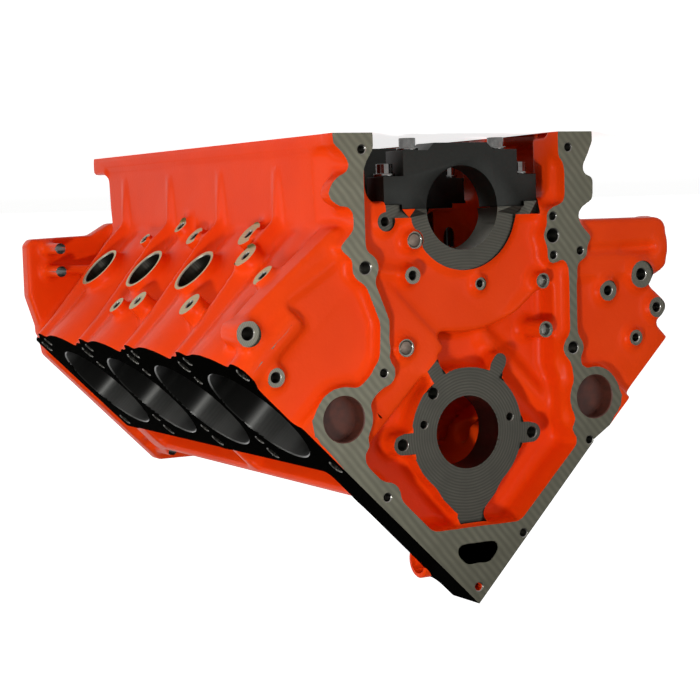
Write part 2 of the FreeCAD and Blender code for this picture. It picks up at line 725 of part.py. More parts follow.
def main_face():
    """The machined ring and shoulders round the first main bearing."""
    ring = rod_y(MAIN_RING_RADIUS, 0, 0, MAIN_RING_FACE_Y, FIRST_MAIN_Y)
    upper = box((-FAR, FAR), (0, FAR), (-CAP_REGISTER_DEPTH, FAR))
    shoulders = box(
        (-CAP_HALF_WIDTH, CAP_HALF_WIDTH),
        (MAIN_RING_FACE_Y, FIRST_MAIN_Y),
        (-CAP_REGISTER_DEPTH, CASTING_WALL),
    )
    return ring.common(upper).fuse(shoulders)


def cam_plate():
    """The flat boss that the cam retainer and tensioner seat on."""
    face_y = MAIN_RING_FACE_Y
    rear_y = FRONT_WALL_REAR_Y
    disc = rod_y(CAM_PLATE_RADIUS, 0, CAM_HEIGHT, face_y, rear_y)
    tab = CAM_PLATE_TAB_HALF_WIDTH
    skirt_rise = CAM_PLATE_RADIUS * SIN_BANK / 2
    shoulder_z = CAM_HEIGHT + CAM_PLATE_RADIUS
    half = [
        (CAM_PLATE_RADIUS * COS_BANK + skirt_rise / 2, CAM_HEIGHT + skirt_rise),
        (2 * tab, shoulder_z),
        (tab, shoulder_z + tab),
        (tab, CAM_PLATE_TAB_Z + SMALL_BOLT_RADIUS),
    ]
    taper = prism_y(mirrored_outline(half), face_y, rear_y)
    ears = []
    for x, z, ear_radius, _ in CAM_PLATE_EARS:
        ears.append(rod_y(ear_radius, x, z, face_y, rear_y))
        root = (x * EAR_ROOT_SHARE, CAM_HEIGHT + (z - CAM_HEIGHT) * EAR_ROOT_SHARE)
        ears.append(strap_y((x, z), root, 2 * ear_radius, face_y, rear_y))
    return disc.fuse([taper] + ears)


def deep_case():
    """The deeper part of the timing case round the cam plate, clear of the first barrels."""
    pocket = prism_y(DEEP_CASE_OUTLINE, -1, DEEP_CASE_FLOOR_Y)
    arc = rod_y(CASE_ARC_RADIUS, 0, CASE_ARC_Z, -DEEP, FAR)
    screw_x, screw_z, screw_radius = COVER_SCREWS[1]
    kept = [arc, rod_y(screw_radius, screw_x, screw_z, -DEEP, FAR)]
    for side in (1, -1):
        first = vector(-HALF_PITCH, bolt_stations(side)[0], BARREL_FOOT)
        top = first + vector(0, 0, DECK_HEIGHT - BARREL_FOOT)
        column = rod(HEAD_BOLT_RADIUS + HEAD_BOLT_COLUMN_WALL, first, top)
        kept.append(in_bank(column, side))
    return pocket.cut(kept)


def deep_wall():
    """The wall behind the timing case, from the first bulkhead up to the apex plate."""
    half = [
        bank_point(BULKHEAD_INNER_W, BARREL_FOOT),
        bank_point(BULKHEAD_INNER_W, DECK_HEIGHT - FLANGE_THICKNESS),
        (APEX_PLATE_HEIGHT, DECK_APEX_Z - APEX_PLATE_HEIGHT),
    ]
    return prism_y(mirrored_outline(half), DEEP_CASE_FLOOR_Y, FRONT_WALL_REAR_Y)


def port_rings():
    shapes = []
    for x in (WATER_PORT_X, -WATER_PORT_X):
        shapes.append(rod_y(WATER_PORT_RADIUS + GALLERY_WALL, x, WATER_PORT_Z, 0, FLANGE_THICKNESS))
    return shapes


def front_bosses():
    shapes = []
    for x, z, radius in COVER_SCREWS + COVER_DOWELS:
        shapes.append(rod_y(radius, x, z, 0, FLANGE_THICKNESS))
    shapes.append(rod_y(OIL_FEED_BOSS_RADIUS, OIL_FEED_X, OIL_FEED_Z, 0, FRONT_WALL_REAR_Y - 10))
    for x, z, radius, face_y, _ in ACCESSORY_BOSSES:
        shapes.append(rod_y(radius, x, z, face_y, ACCESSORY_BOSS_REAR_Y))
    for x, z, radius, face_y, _, _ in CASE_BOSSES:
        shapes.append(rod_y(radius, x, z, face_y, DEEP_CASE_FLOOR_Y + 1))
    for x, z in GALLERY_PLUGS:
        shapes.append(rod_y(GALLERY_PLUG_BOSS_RADIUS, x, z, GALLERY_PLUG_FACE_Y, CASE_FLOOR_Y + 8))
    return shapes


def front_ridges():
    """Cast oil galleries and stiffening ridges that stand out of the front walls."""
    return [rod(radius, vector(*start), vector(*end)) for radius, start, end in FRONT_RIDGES]


def front_corner_web(side):
    """The thick end of a bank that carries the accessory bosses."""
    outline = [
        (BANK_OUTER_W - GALLERY_WALL, BARREL_FOOT),
        (JACKET_RADIUS, BARREL_FOOT),
        (RIB_CREST_W, BARREL_FOOT + CORNER_WEB_RISE),
        (RIB_CREST_W, BARREL_FOOT + CORNER_WEB_HEIGHT),
        (BANK_OUTER_W - GALLERY_WALL, BARREL_FOOT + CORNER_WEB_HEIGHT),
    ]
    return in_bank(prism_y(outline, BANK_FRONT_Y, ACCESSORY_BOSS_REAR_Y), side)


def filter_arm():
    """The arm on the right-hand side that carries the oil filter pad."""
    root = -SKIRT_FRONT_X + CASTING_WALL
    seat = FILTER_PAD_X + FILTER_PAD_THICKNESS
    bars = [strap_y((root, z), (seat, z), width, *FILTER_ARM_SPAN_Y) for z, width in FILTER_ARM_BARS]
    low_z, high_z = [z for z, _ in FILTER_ARM_BARS]
    web = box((seat, root), FILTER_WEB_SPAN_Y, (low_z, high_z))
    face = vector(FILTER_PAD_X, FILTER_PAD_Y, FILTER_PAD_Z)
    pad = rod(FILTER_PAD_RADIUS, face, face + vector(FILTER_PAD_THICKNESS, 0, 0))
    return web.fuse(bars + [pad])


def valley_pipe():
    """The short pipe stub behind the front wall, at the top of the valley."""
    start_x, end_x = VALLEY_PIPE_SPAN_X
    y = FRONT_WALL_REAR_Y + VALLEY_PIPE_RADIUS - 2
    z = VALLEY_PIPE_Z
    outer = rod(VALLEY_PIPE_RADIUS, vector(start_x, y, z), vector(end_x, y, z))
    root = box(
        (start_x, start_x + VALLEY_PIPE_ROOT_WIDTH),
        (FRONT_WALL_REAR_Y - 2, y + VALLEY_PIPE_BORE_RADIUS),
        (z - VALLEY_PIPE_ROOT_DROP, z + VALLEY_PIPE_BORE_RADIUS),
    )
    return outer.fuse(root)


def valley_pipe_bore():
    start_x, end_x = VALLEY_PIPE_SPAN_X
    y = FRONT_WALL_REAR_Y + VALLEY_PIPE_RADIUS - 2
    start = vector(start_x + CASTING_WALL, y, VALLEY_PIPE_Z)
    return rod(VALLEY_PIPE_BORE_RADIUS, start, vector(end_x + 1, y, VALLEY_PIPE_Z))


# ---- the rear face ----
def rear_gusset(side, z, root, reach):
    flange_y = BLOCK_LENGTH - BELL_FLANGE_THICKNESS
    foot = root - REAR_GUSSET_FOOT
    points = [
        vector(side * root, flange_y - REAR_GUSSET_RUN, z),
        vector(side * reach, flange_y + 2, z),
        vector(side * foot, flange_y + 2, z),
        vector(side * foot, flange_y - REAR_GUSSET_RUN, z),
    ]
    face = Part.Face(Part.makePolygon(points + points[:1]))
    return face.extrude(vector(0, 0, REAR_GUSSET_THICKNESS))


def rear_walls():
    """The closed rear of the banks and crankcase, and the bell housing flange with its gussets."""
    top_t = DECK_HEIGHT - JACKET_ROOF_GAP
    deck_t = DECK_HEIGHT - 2
    filler_half = [
        (SKIRT_KNEE_X - SKIRT_WALL, REAR_FLANGE_HALF[0][1]),
        bank_point(BULKHEAD_OUTER_W, BULKHEAD_TOP_T),
        bank_point(BULKHEAD_OUTER_W, top_t),
        bank_point(-GALLERY_OUTER_W - GALLERY_WALL, top_t),
    ]
    flange_half = REAR_FLANGE_HALF + [
        bank_point(REAR_FLANGE_TOP_W, deck_t),
        (REAR_FLANGE_TOP_X, deck_t / COS_BANK - REAR_FLANGE_TOP_X),
    ]
    start = bank_rear_y(1) - GALLERY_WALL
    filler = prism_y(mirrored_outline(filler_half), start, BLOCK_LENGTH - 2)
    flange_y = BLOCK_LENGTH - BELL_FLANGE_THICKNESS
    flange = prism_y(mirrored_outline(flange_half), flange_y, BLOCK_LENGTH)
    gussets = [rear_gusset(side, *gusset) for side in (1, -1) for gusset in REAR_GUSSETS]
    return filler.fuse([flange] + gussets)


def rear_cuts():
    """The open space for the crank's rear seal, and the seat of the rear cam plug."""
    seal = rod_y(CRANK_SEAL_RADIUS, 0, 0, LAST_BULKHEAD_REAR_Y + 2, FAR)
    plug_seat = rod_y(CAM_PLUG_RADIUS, 0, CAM_HEIGHT, cam_plug_seat_y(), FAR)
    return [seal, plug_seat]


def cam_plug_seat_y():
    """Where the cam bore ends and the wider seat of its rear plug begins."""
    return LAST_BULKHEAD_REAR_Y - CAM_PLUG_THICKNESS - CAM_PLUG_GAP


# ---- holes ----
def front_holes():
    cuts = []
    for x, z, _ in COVER_SCREWS:
        cuts.append(rod_y(COVER_SCREW_RADIUS, x, z, -1, COVER_SCREW_DEPTH))
    for x, z, _ in COVER_DOWELS:
        cuts.append(rod_y(COVER_DOWEL_RADIUS, x, z, -1, COVER_SCREW_DEPTH))
    for x, z, _, face_y, hole_radius in ACCESSORY_BOSSES:
        cuts.append(rod_y(hole_radius, x, z, face_y - 1, face_y + ACCESSORY_HOLE_DEPTH))
    for x, z, _, face_y, hole_radius, depth in CASE_BOSSES:
        cuts.append(rod_y(hole_radius, x, z, face_y - 1, face_y + depth))
    for x, z in GALLERY_PLUGS:
        bottom = GALLERY_PLUG_FACE_Y + GALLERY_PLUG_LENGTH + 2
        cuts.append(rod_y(GALLERY_PLUG_RADIUS, x, z, GALLERY_PLUG_FACE_Y - 1, bottom))
    for x, z, _, hole_radius in CAM_PLATE_EARS:
        if hole_radius > 0:
            bottom = MAIN_RING_FACE_Y + CAM_PLATE_HOLE_DEPTH
            cuts.append(rod_y(hole_radius, x, z, MAIN_RING_FACE_Y - 1, bottom))
    cuts.append(rod_y(OIL_FEED_RADIUS, OIL_FEED_X, OIL_FEED_Z, -1, FRONT_WALL_REAR_Y - 15))
    for x in (WATER_PORT_X, -WATER_PORT_X):
        cuts.append(rod_y(WATER_PORT_RADIUS, x, WATER_PORT_Z, -1, WATER_PORT_DEPTH))
    return cuts


def rear_holes():
    cuts = []
    for x, z in BELL_BOLTS:
        for sign in (1, -1):
            cuts.append(rod_y(BELL_BOLT_RADIUS, sign * x, z, BLOCK_LENGTH - BELL_BOLT_DEPTH, FAR))
    for x, z in BELL_DOWELS:
        for sign in (1, -1):
            cuts.append(rod_y(BELL_DOWEL_RADIUS, sign * x, z, BLOCK_LENGTH - BELL_DOWEL_SEAT, FAR))
    return cuts


def pan_bolt_stations():
    start = FLANGE_THICKNESS + PAN_BOLT_END_MARGIN
    step = (SKIRT_REAR_Y - PAN_BOLT_END_MARGIN - start) / (PAN_BOLT_COUNT - 1)
    return [start + step * i for i in range(PAN_BOLT_COUNT)]


def pan_holes():
    cuts = []
    for y in pan_bolt_stations():
        for x in (PAN_BOLT_X, -PAN_BOLT_X):
            mouth = vector(x, y, PAN_RAIL_Z)
            cuts.append(rod(PAN_BOLT_RADIUS, mouth, mouth + vector(0, 0, PAN_BOLT_DEPTH)))
    return cuts


def cap_bolt_holes():
    cuts = []
    for y in main_stations():
        for sign in (1, -1):
            inner = vector(sign * INNER_BOLT_X, y, 0)
            outer = vector(sign * OUTER_BOLT_X, y, 0)
            inner_top = INNER_BOLT_GRIP - CAP_TOP_DROP + BOLT_HOLE_SPARE
            outer_top = OUTER_BOLT_GRIP - CAP_SHOULDER_DROP + BOLT_HOLE_SPARE
            down = vector(0, 0, -CAP_REGISTER_DEPTH - 1)
            cuts.append(rod(INNER_SHANK_RADIUS, inner + down, inner + vector(0, 0, inner_top)))
            cuts.append(rod(OUTER_SHANK_RADIUS, outer + down, outer + vector(0, 0, outer_top)))
    return cuts


def casting_body():
    """The outside of the casting: banks, crankcase, front wall and bell housing flange."""
    metal = []
    for side in (1, -1):
        metal.append(in_bank(bank_solid(side), side))
        metal.append(in_bank(lifter_block(side), side))
        metal.append(skirt(side))
        metal.append(front_corner_web(side))
        metal.append(deck_band(side))
    metal += [valley_floor(), rear_walls(), apex_plate(), deep_wall(), filter_arm()]
    metal += bulkheads() + face_parts(LEFT_LEG_BARS, LEFT_LEG_PADS)
    metal += face_parts(RIGHT_LEG_BARS, RIGHT_LEG_PADS) + port_rings() + front_ridges()
    body = fused(metal).cut([deep_case(), apex_window()])
    return fused([body, cam_plate(), main_face(), valley_pipe()] + front_bosses())


def cylinder_block():
    body = casting_body()
    body = body.cut(cap_slots() + rear_cuts()).removeSplitter()
    body = body.cut(front_holes() + rear_holes()).removeSplitter()
    body = body.cut(pan_holes() + cap_bolt_holes())
    for side in (1, -1):
        voids = [jacket_void(side), water_passage(side)] + bank_cuts(side)
        body = body.cut([in_bank(void, side) for void in voids])
    main_line = rod_y(MAIN_RADIUS, 0, 0, -1, FAR)
    cam_line = rod_y(CAM_RADIUS, 0, CAM_HEIGHT, -1, cam_plug_seat_y() + 1)
    body = body.cut([main_line, cam_line, valley_pipe_bore()])
    return body.Solids[0]


# ---- caps and fasteners ----
def main_cap(y):
    """A four-bolt cap: a wide foot with shoulders, and a crown between the inner bolts."""
    half = [
        (CAP_REGISTER_X, 0),
        (CAP_REGISTER_X, -CAP_REGISTER_DEPTH),
        (CAP_HALF_WIDTH, -CAP_REGISTER_DEPTH),
        (CAP_HALF_WIDTH, -CAP_SHOULDER_DROP),
        (CAP_SHOULDER_X, -CAP_SHOULDER_DROP),
        (CAP_SHOULDER_X, -CAP_TOP_DROP),
        (CAP_CROWN_X + CAP_CROWN_DROP - CAP_TOP_DROP, -CAP_TOP_DROP),
        (CAP_CROWN_X, -CAP_CROWN_DROP),
    ]
    start = y - BULKHEAD_THICKNESS / 2
    cap = prism_y(mirrored_outline(half), start, y + BULKHEAD_THICKNESS / 2)
    cuts = [rod_y(MAIN_RADIUS, 0, 0, start - 1, y + BULKHEAD_THICKNESS)]
    for sign in (1, -1):
        for x, radius in ((INNER_BOLT_X, INNER_SHANK_RADIUS), (OUTER_BOLT_X, OUTER_SHANK_RADIUS)):
            top = vector(sign * x, y, 1)
            cuts.append(rod(radius + SHANK_CLEARANCE, top, top - vector(0, 0, DEEP)))
    return cap.cut(cuts)


def flange_bolt(x, y, seat_z, shank_radius, grip):
    """A twelve-point flange bolt, head down, with its shank up into the block."""
    seat = vector(x, y, seat_z)
    down = vector(0, 0, -1)
    flange = rod(BOLT_FLANGE_RADIUS, seat, seat + down * BOLT_FLANGE_HEIGHT)
    shank = rod(shank_radius, seat, seat + vector(0, 0, grip))
    points = []
    for i in range(2 * BOLT_HEAD_POINTS):
        angle = math.pi * i / BOLT_HEAD_POINTS
        reach = BOLT_HEAD_RADIUS if i % 2 == 0 else BOLT_HEAD_ROOT_RADIUS
        points.append(seat + vector(reach * math.cos(angle), reach * math.sin(angle), 0))
    star = Part.Face(Part.makePolygon(points + points[:1]))
    head = star.extrude(down * (BOLT_FLANGE_HEIGHT + BOLT_HEAD_HEIGHT))
    return flange.fuse([head, shank]).removeSplitter()


def bolt_pair(x, y, drop, shank_radius, grip):
    bolts = [flange_bolt(sign * x, y, -drop, shank_radius, grip) for sign in (1, -1)]
    return Part.makeCompound(bolts)


def gallery_plugs():
    plugs = []
    for x, z in GALLERY_PLUGS:
        face_y = GALLERY_PLUG_FACE_Y
        plugs.append(rod_y(GALLERY_PLUG_RADIUS, x, z, face_y + 0.5, face_y + GALLERY_PLUG_LENGTH))
    return Part.makeCompound(plugs)


def rear_cam_plug():
    start = cam_plug_seat_y() + CAM_PLUG_GAP
    return rod_y(CAM_PLUG_RADIUS, 0, CAM_HEIGHT, start, start + CAM_PLUG_THICKNESS)


def bell_dowels():
    pins = []
    for x, z in BELL_DOWELS:
        for sign in (1, -1):
            end = BLOCK_LENGTH + BELL_DOWEL_PROUD
            pins.append(rod_y(BELL_DOWEL_RADIUS, sign * x, z, BLOCK_LENGTH - BELL_DOWEL_SEAT, end))
    return Part.makeCompound(pins)


def all_parts():
    parts = {"cylinder_block": cylinder_block()}
    for number, y in enumerate(main_stations(), start=1):
        parts[f"main_cap_{number}"] = main_cap(y)
        parts[f"inner_bolts_cap_{number}"] = bolt_pair(
            INNER_BOLT_X, y, CAP_TOP_DROP, INNER_SHANK_RADIUS, INNER_BOLT_GRIP
        )
        parts[f"outer_bolts_cap_{number}"] = bolt_pair(
            OUTER_BOLT_X, y, CAP_SHOULDER_DROP, OUTER_SHANK_RADIUS, OUTER_BOLT_GRIP
        )
    parts["front_gallery_plugs"] = gallery_plugs()
    parts["rear_cam_plug"] = rear_cam_plug()
    parts["bell_housing_dowels"] = bell_dowels()
    return parts


os.makedirs("parts", exist_ok=True)
for name, shape in all_parts().items():
    shape.exportStep(f"parts/{name}.step")
    solids = shape.Solids
    print(name, len(solids), "solids", shape.isValid(), round(shape.Volume / 1000, 1), "cm3")
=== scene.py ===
# %% [markdown]
# A bare V8 engine block, painted bright orange and standing on its oil pan rails.
# The real one is a rough sand casting whose gasket faces, bores and bolt holes were cut afterwards.
# It could be modelled straight to its final shape, but then the soft casting and the sharp cuts would
# have to be told apart by hand. This file makes it in the real order instead: cast it oversize, soften
# it, then machine it, and paint what no tool has touched.

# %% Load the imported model
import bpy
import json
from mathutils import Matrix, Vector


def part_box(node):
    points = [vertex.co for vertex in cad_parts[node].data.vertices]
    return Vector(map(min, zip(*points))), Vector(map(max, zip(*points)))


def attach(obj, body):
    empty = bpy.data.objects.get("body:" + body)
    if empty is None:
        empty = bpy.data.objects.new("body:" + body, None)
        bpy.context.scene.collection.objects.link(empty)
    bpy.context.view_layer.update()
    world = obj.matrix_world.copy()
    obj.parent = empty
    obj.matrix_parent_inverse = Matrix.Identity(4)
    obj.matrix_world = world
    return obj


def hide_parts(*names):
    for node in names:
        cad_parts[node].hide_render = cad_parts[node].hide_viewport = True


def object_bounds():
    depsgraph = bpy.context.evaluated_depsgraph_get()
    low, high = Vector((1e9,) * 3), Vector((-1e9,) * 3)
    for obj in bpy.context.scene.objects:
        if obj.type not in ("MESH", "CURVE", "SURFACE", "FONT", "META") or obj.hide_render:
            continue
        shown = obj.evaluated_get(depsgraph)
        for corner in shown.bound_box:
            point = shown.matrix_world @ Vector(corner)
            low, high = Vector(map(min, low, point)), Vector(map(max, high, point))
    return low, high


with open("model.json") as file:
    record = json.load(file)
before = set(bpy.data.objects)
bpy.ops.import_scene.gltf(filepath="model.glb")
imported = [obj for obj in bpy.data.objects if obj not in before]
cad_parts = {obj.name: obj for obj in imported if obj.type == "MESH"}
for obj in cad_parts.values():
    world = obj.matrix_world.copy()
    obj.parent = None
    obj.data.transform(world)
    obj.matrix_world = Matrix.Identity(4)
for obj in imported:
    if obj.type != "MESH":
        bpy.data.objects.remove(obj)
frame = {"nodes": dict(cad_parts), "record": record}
cad_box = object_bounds()
print("CAD nodes:", len(frame["nodes"]))

# %% Modules
import json
import math
import bmesh
import bpy
import numpy as np
import openvdb
from mathutils import Matrix, Vector
from mathutils.bvhtree import BVHTree
from mathutils.geometry import tessellate_polygon

MM = 0.001

# %% [markdown]
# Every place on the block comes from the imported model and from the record's mounts, which are its real
# interfaces. They could be typed in again, but then a changed block would leave its finish behind.
# Sizes are in millimetres here, and turn to metres when a Blender mesh is made.

# %% Sizes and places read from the model
mounts = {mount["name"]: mount for mount in frame["record"]["mounts"]}


def mount_place(name):
    return np.array(mounts[name]["pos_m"]) / MM


def mount_axis(name):
    axis = np.array(mounts[name]["axis"], float)
    return axis / np.linalg.norm(axis)


def node_box(name):
    low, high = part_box(name)
    return np.array(low) / MM, np.array(high) / MM


CAP_NUMBERS = range(1, 6)
block_low, block_high = node_box("cylinder_block")
caps = [node_box(f"main_cap_{number}") for number in CAP_NUMBERS]
main_bore_radius = mounts["main_bearing_bore"]["dims"]["r_mm"]
cam_bore_radius = mounts["cam_bore"]["dims"]["r_mm"]
cam_height = mount_place("cam_bore")[2]
print("block from", block_low.round(1), "to", block_high.round(1))

# %% [markdown]
# The CAD mesh is triangles whose corners are repeated along each CAD face. The faces could be picked by
# their place in the file, but that order changes with the model. Welding the corners gives one closed
# skin instead, and then a flat machined face is simply all the triangles that lie in one plane.

# %% Read the block's skin
WELD = 0.004 * MM
block = frame["nodes"]["cylinder_block"]
skin = bmesh.new()
skin.from_mesh(block.data)
bmesh.ops.remove_doubles(skin, verts=skin.verts, dist=WELD)
bmesh.ops.triangulate(skin, faces=skin.faces)
skin.normal_update()
skin.verts.index_update()
skin_points = np.array([v.co for v in skin.verts]) / MM
skin_faces = np.array([[v.index for v in f.verts] for f in skin.faces])
skin_normals = np.array([f.normal for f in skin.faces])
skin_tree = BVHTree.FromPolygons(skin_points.tolist(), skin_faces.tolist())
skin.free()
print("skin:", len(skin_points), "points,", len(skin_faces), "triangles")

# %% Find the triangles of one flat face
SAME_WAY = 0.9995
SAME_LEVEL = 0.03


def flat_face(normal, height):
    """The triangles that face along normal, in the plane at this height along it."""
    facing = skin_normals @ normal > SAME_WAY
    level = np.abs(skin_points[skin_faces] @ normal - height).max(axis=1) < SAME_LEVEL
    return skin_faces[facing & level]


def boundary_loops(triangles):
    """The closed loops of corner numbers round a flat region, holes running backwards."""
    edges = {(a, b) for t in triangles.tolist() for a, b in zip(t, t[1:] + t[:1])}
    following = {a: b for a, b in edges if (b, a) not in edges}
    loops = []
    while following:
        start, here = following.popitem()
        loop = [start]
        while here in following:
            loop.append(here)
            here = following.pop(here)
        loops.append(loop)
    return loops

# %% [markdown]
# A drilled hole shows in the skin as a round loop in a flat face. How deep it goes isn't written in the
# loop. It could be looked up hole by hole, but a ray sent down each hole finds its bottom by itself.

# %% Find the round holes of one flat face
NEARLY_Y = 0.9
LEAST_CORNERS = 8
OUT_OF_ROUND = 0.06
RAY_TURNS = (0, 2.1, 4.2)
RAY_SPREAD = 0.4
RAY_START = 0.05
OPEN_DEPTH = 400.0


def plane_axes(normal):
    side = np.cross(normal, [0, 1, 0]) if abs(normal[1]) < NEARLY_Y else np.array([1.0, 0, 0])
    side = side / np.linalg.norm(side)
    return side, np.cross(normal, side)


def hole_depth(normal, centre, radius):
    """How far three rays down the hole reach before the first of them hits metal."""
    side, other = plane_axes(normal)
    depths = []
    for turn in RAY_TURNS:
        start = centre + RAY_SPREAD * radius * (math.cos(turn) * side + math.sin(turn) * other)
        hit = skin_tree.ray_cast(Vector(start - RAY_START * normal), Vector(-normal))
        depths.append(hit[3] if hit[0] else OPEN_DEPTH)
    return min(depths)


def round_holes(normal, height):
    """Centre, radius and depth of each round hole in a flat face."""
    side, other = plane_axes(normal)
    found = []
    for loop in boundary_loops(flat_face(normal, height)):
        points = skin_points[loop]
        flat = np.stack([points @ side, points @ other], axis=1)
        turned = np.roll(flat, -1, axis=0)
        area = (flat[:, 0] * turned[:, 1] - flat[:, 1] * turned[:, 0]).sum() / 2
        if area > 0 or len(loop) < LEAST_CORNERS:
            continue
        centre = points.mean(axis=0)
        radii = np.linalg.norm(points - centre, axis=1)
        if radii.max() - radii.min() > OUT_OF_ROUND * radii.mean():
            continue
        found.append((centre, radii.max(), hole_depth(normal, centre, radii.max())))
    return found


FRONT = np.array([0, -1.0, 0])
REAR = np.array([0, 1.0, 0])
DOWN = np.array([0, 0, -1.0])
SIDE_NAMES = ("left", "right")
decks = {side: mount_axis(f"{side}_deck") for side in SIDE_NAMES}
sides = {side: mount_axis(f"{side}_core_plug_hole_2") for side in SIDE_NAMES}
print("holes in the front face:", len(round_holes(FRONT, 0.0)))

# %% [markdown]
# The machined faces. The milled ones are planes right across the block: the front and rear, the two
# decks and the pan rails. The seats are small faces on bosses. They could all be found by searching the
# skin for flat regions, but a few casting faces are flat too, so the real machined ones are listed.

# %% Machined faces
BOSS_HEIGHTS = (-1.0, -4.0, -6.0, -9.0)


def along(normal, name):
    return float(mount_place(name) @ normal)


milled = [
    ("front_milled", FRONT, 0.0),
    ("rear_milled", REAR, block_high[1]),
    ("rail_milled", DOWN, -block_low[2]),
    ("deck_milled", decks["left"], along(decks["left"], "left_deck")),
    ("deck_milled", decks["right"], along(decks["right"], "right_deck")),
]
seats = [("turned_face", FRONT, -caps[0][0][1])]
seats += [("boss_face", FRONT, height) for height in BOSS_HEIGHTS]
for side, normal in sides.items():
    seats.append(("spot_face", normal, along(normal, f"{side}_core_plug_hole_2")))
filter_normal = mount_axis("oil_filter_pad")
seats.append(("spot_face", filter_normal, along(filter_normal, "oil_filter_pad")))
print("machined faces:", len(milled) + len(seats))

# %% Their holes
BORE_LEAST_RADIUS = 45
DRILL_MOST_RADIUS = 28
holes = []
for finish, normal, height in milled + seats:
    for centre, radius, depth in round_holes(normal, height):
        holes.append((normal, centre, radius, depth))
bores = [hole for hole in holes if hole[2] > BORE_LEAST_RADIUS]
drilled = [hole for hole in holes if hole[2] < DRILL_MOST_RADIUS]
print("bores:", len(bores), " drilled holes:", len(drilled))

# %% [markdown]
# A casting leaves the mould with stock on every face that will be machined, with no bolt holes, and
# with fillets in all its inner corners. Here the stock is a prism on each flat triangle and a plug in
# each hole. The shapes could be joined by hand in a modeller, but they only have to touch and be closed,
# because the level set that comes next takes whatever is inside any of them.

# %% Prisms, turned shapes and boxes
PRISM = np.array([[0, 2, 1], [3, 4, 5], [0, 1, 4], [0, 4, 3], [1, 2, 5], [1, 5, 4], [2, 0, 3], [2, 3, 5]])


def prisms(triangles, normal, low, high):
    """Each flat triangle run along the normal, as a closed prism."""
    corners = skin_points[triangles]
    points = np.concatenate([corners + low * normal, corners + high * normal], axis=1)
    faces = np.arange(len(triangles))[:, None, None] * 6 + PRISM
    return points.reshape(-1, 3), faces.reshape(-1, 3)


def lathe(profile, place, axis, sides=48):
    """A closed turned shape from (radius, height) points, first and last on the axis."""
    side, other = plane_axes(axis)
    turns = 2 * math.pi * np.arange(sides) / sides
    spokes = np.outer(np.cos(turns), side) + np.outer(np.sin(turns), other)
    rings = [place + radius * spokes + height * axis for radius, height in profile[1:-1]]
    points = np.concatenate(rings + [[place + profile[0][1] * axis], [place + profile[-1][1] * axis]])
    here = np.arange(sides)
    after = (here + 1) % sides
    first = len(points) - 2
    faces = [np.stack([np.full(sides, first), here, after], axis=1)]
    for ring in range(len(rings) - 1):
        low, high = ring * sides, (ring + 1) * sides
        faces.append(np.stack([low + here, high + here, high + after], axis=1))
        faces.append(np.stack([low + here, high + after, low + after], axis=1))
    last = (len(rings) - 1) * sides
    faces.append(np.stack([last + here, np.full(sides, first + 1), last + after], axis=1))
    return points, np.concatenate(faces)


def plug(place, axis, radius, low, high, sides=48):
    return lathe([(0, high), (radius, high), (radius, low), (0, low)], place, axis, sides)


def block_box(low, high):
    x, y, z = zip(low, high)
    points = np.array([[x[i], y[j], z[k]] for k in (0, 1) for j in (0, 1) for i in (0, 1)], float)
    quads = [[0, 2, 3, 1], [4, 5, 7, 6], [0, 1, 5, 4], [2, 6, 7, 3], [0, 4, 6, 2], [1, 3, 7, 5]]
    faces = [[q[0], q[a], q[a + 1]] for q in quads for a in (1, 2)]
    return points, np.array(faces)


def joined(shapes):
    """Several closed shapes as one list of points and triangles."""
    starts = np.cumsum([0] + [len(points) for points, _ in shapes[:-1]])
    faces = [triangles + start for (_, triangles), start in zip(shapes, starts)]
    return np.concatenate([points for points, _ in shapes]), np.concatenate(faces)


print("faces of one plug:", len(plug(np.zeros(3), REAR, 1, 0, 1)[1]))

# %% Which triangles of a face are cut
FRONT_REACH = 160.0
SEAT_SHARE = 3.4
SAME_AXIS = 0.99
SAME_SEAT = 0.1


def machined(finish, normal, height):
    """The triangles of a flat face that are cut: a spot face is only the seat round a hole."""
    triangles = flat_face(normal, height)
    corners = skin_points[triangles]
    if finish == "front_milled":
        return triangles[np.abs(corners[:, :, 0]).max(axis=1) < FRONT_REACH]
    if finish not in ("spot_face", "boss_face"):
        return triangles
    near = np.zeros(len(triangles), bool)
    for axis, centre, radius, _ in holes:
        if axis @ normal > SAME_AXIS and abs(centre @ normal - height) < SAME_SEAT:
            near |= np.linalg.norm(corners - centre, axis=2).max(axis=1) < SEAT_SHARE * radius
    return triangles[near]


print("triangles milled at the front:", len(machined(*milled[0])))

# %% The rough casting's shapes
STOCK = 3.0
STOCK_ROOT = -1.0
PLUG_WIDER = 0.5
PLUG_LOWER = 0.5
BORE_PLUG_DEPTH = 135.0
HOLE_PLUG_DEPTH = 60.0
CAP_STOCK_HALF, CAP_STOCK_DEPTH, CAP_STOCK_TOP = 74, 8, 2
crank_axis = np.array([0, 0, 0.0])
cam_axis = np.array([0, 0, cam_height])
bulkheads = [(low[1], high[1]) for low, high in caps]
rough = [(skin_points, skin_faces)]
for finish, normal, height in milled + seats:
    rough.append(prisms(machined(finish, normal, height), normal, STOCK_ROOT, STOCK))
for normal, centre, radius, depth in holes:
    bottom = -min(depth, HOLE_PLUG_DEPTH) - PLUG_LOWER
    if radius > BORE_LEAST_RADIUS:
        bottom = -BORE_PLUG_DEPTH
    if radius > BORE_LEAST_RADIUS or radius < DRILL_MOST_RADIUS:
        rough.append(plug(centre, normal, radius + PLUG_WIDER, bottom, STOCK))
for start, end in bulkheads:
    rough.append(plug(crank_axis, REAR, main_bore_radius + PLUG_WIDER, start, end))
    rough.append(plug(cam_axis, REAR, cam_bore_radius + PLUG_WIDER, start - STOCK, end))
    rough.append(block_box((-CAP_STOCK_HALF, start - STOCK, -CAP_STOCK_DEPTH),
                           (CAP_STOCK_HALF, end + STOCK, CAP_STOCK_TOP)))
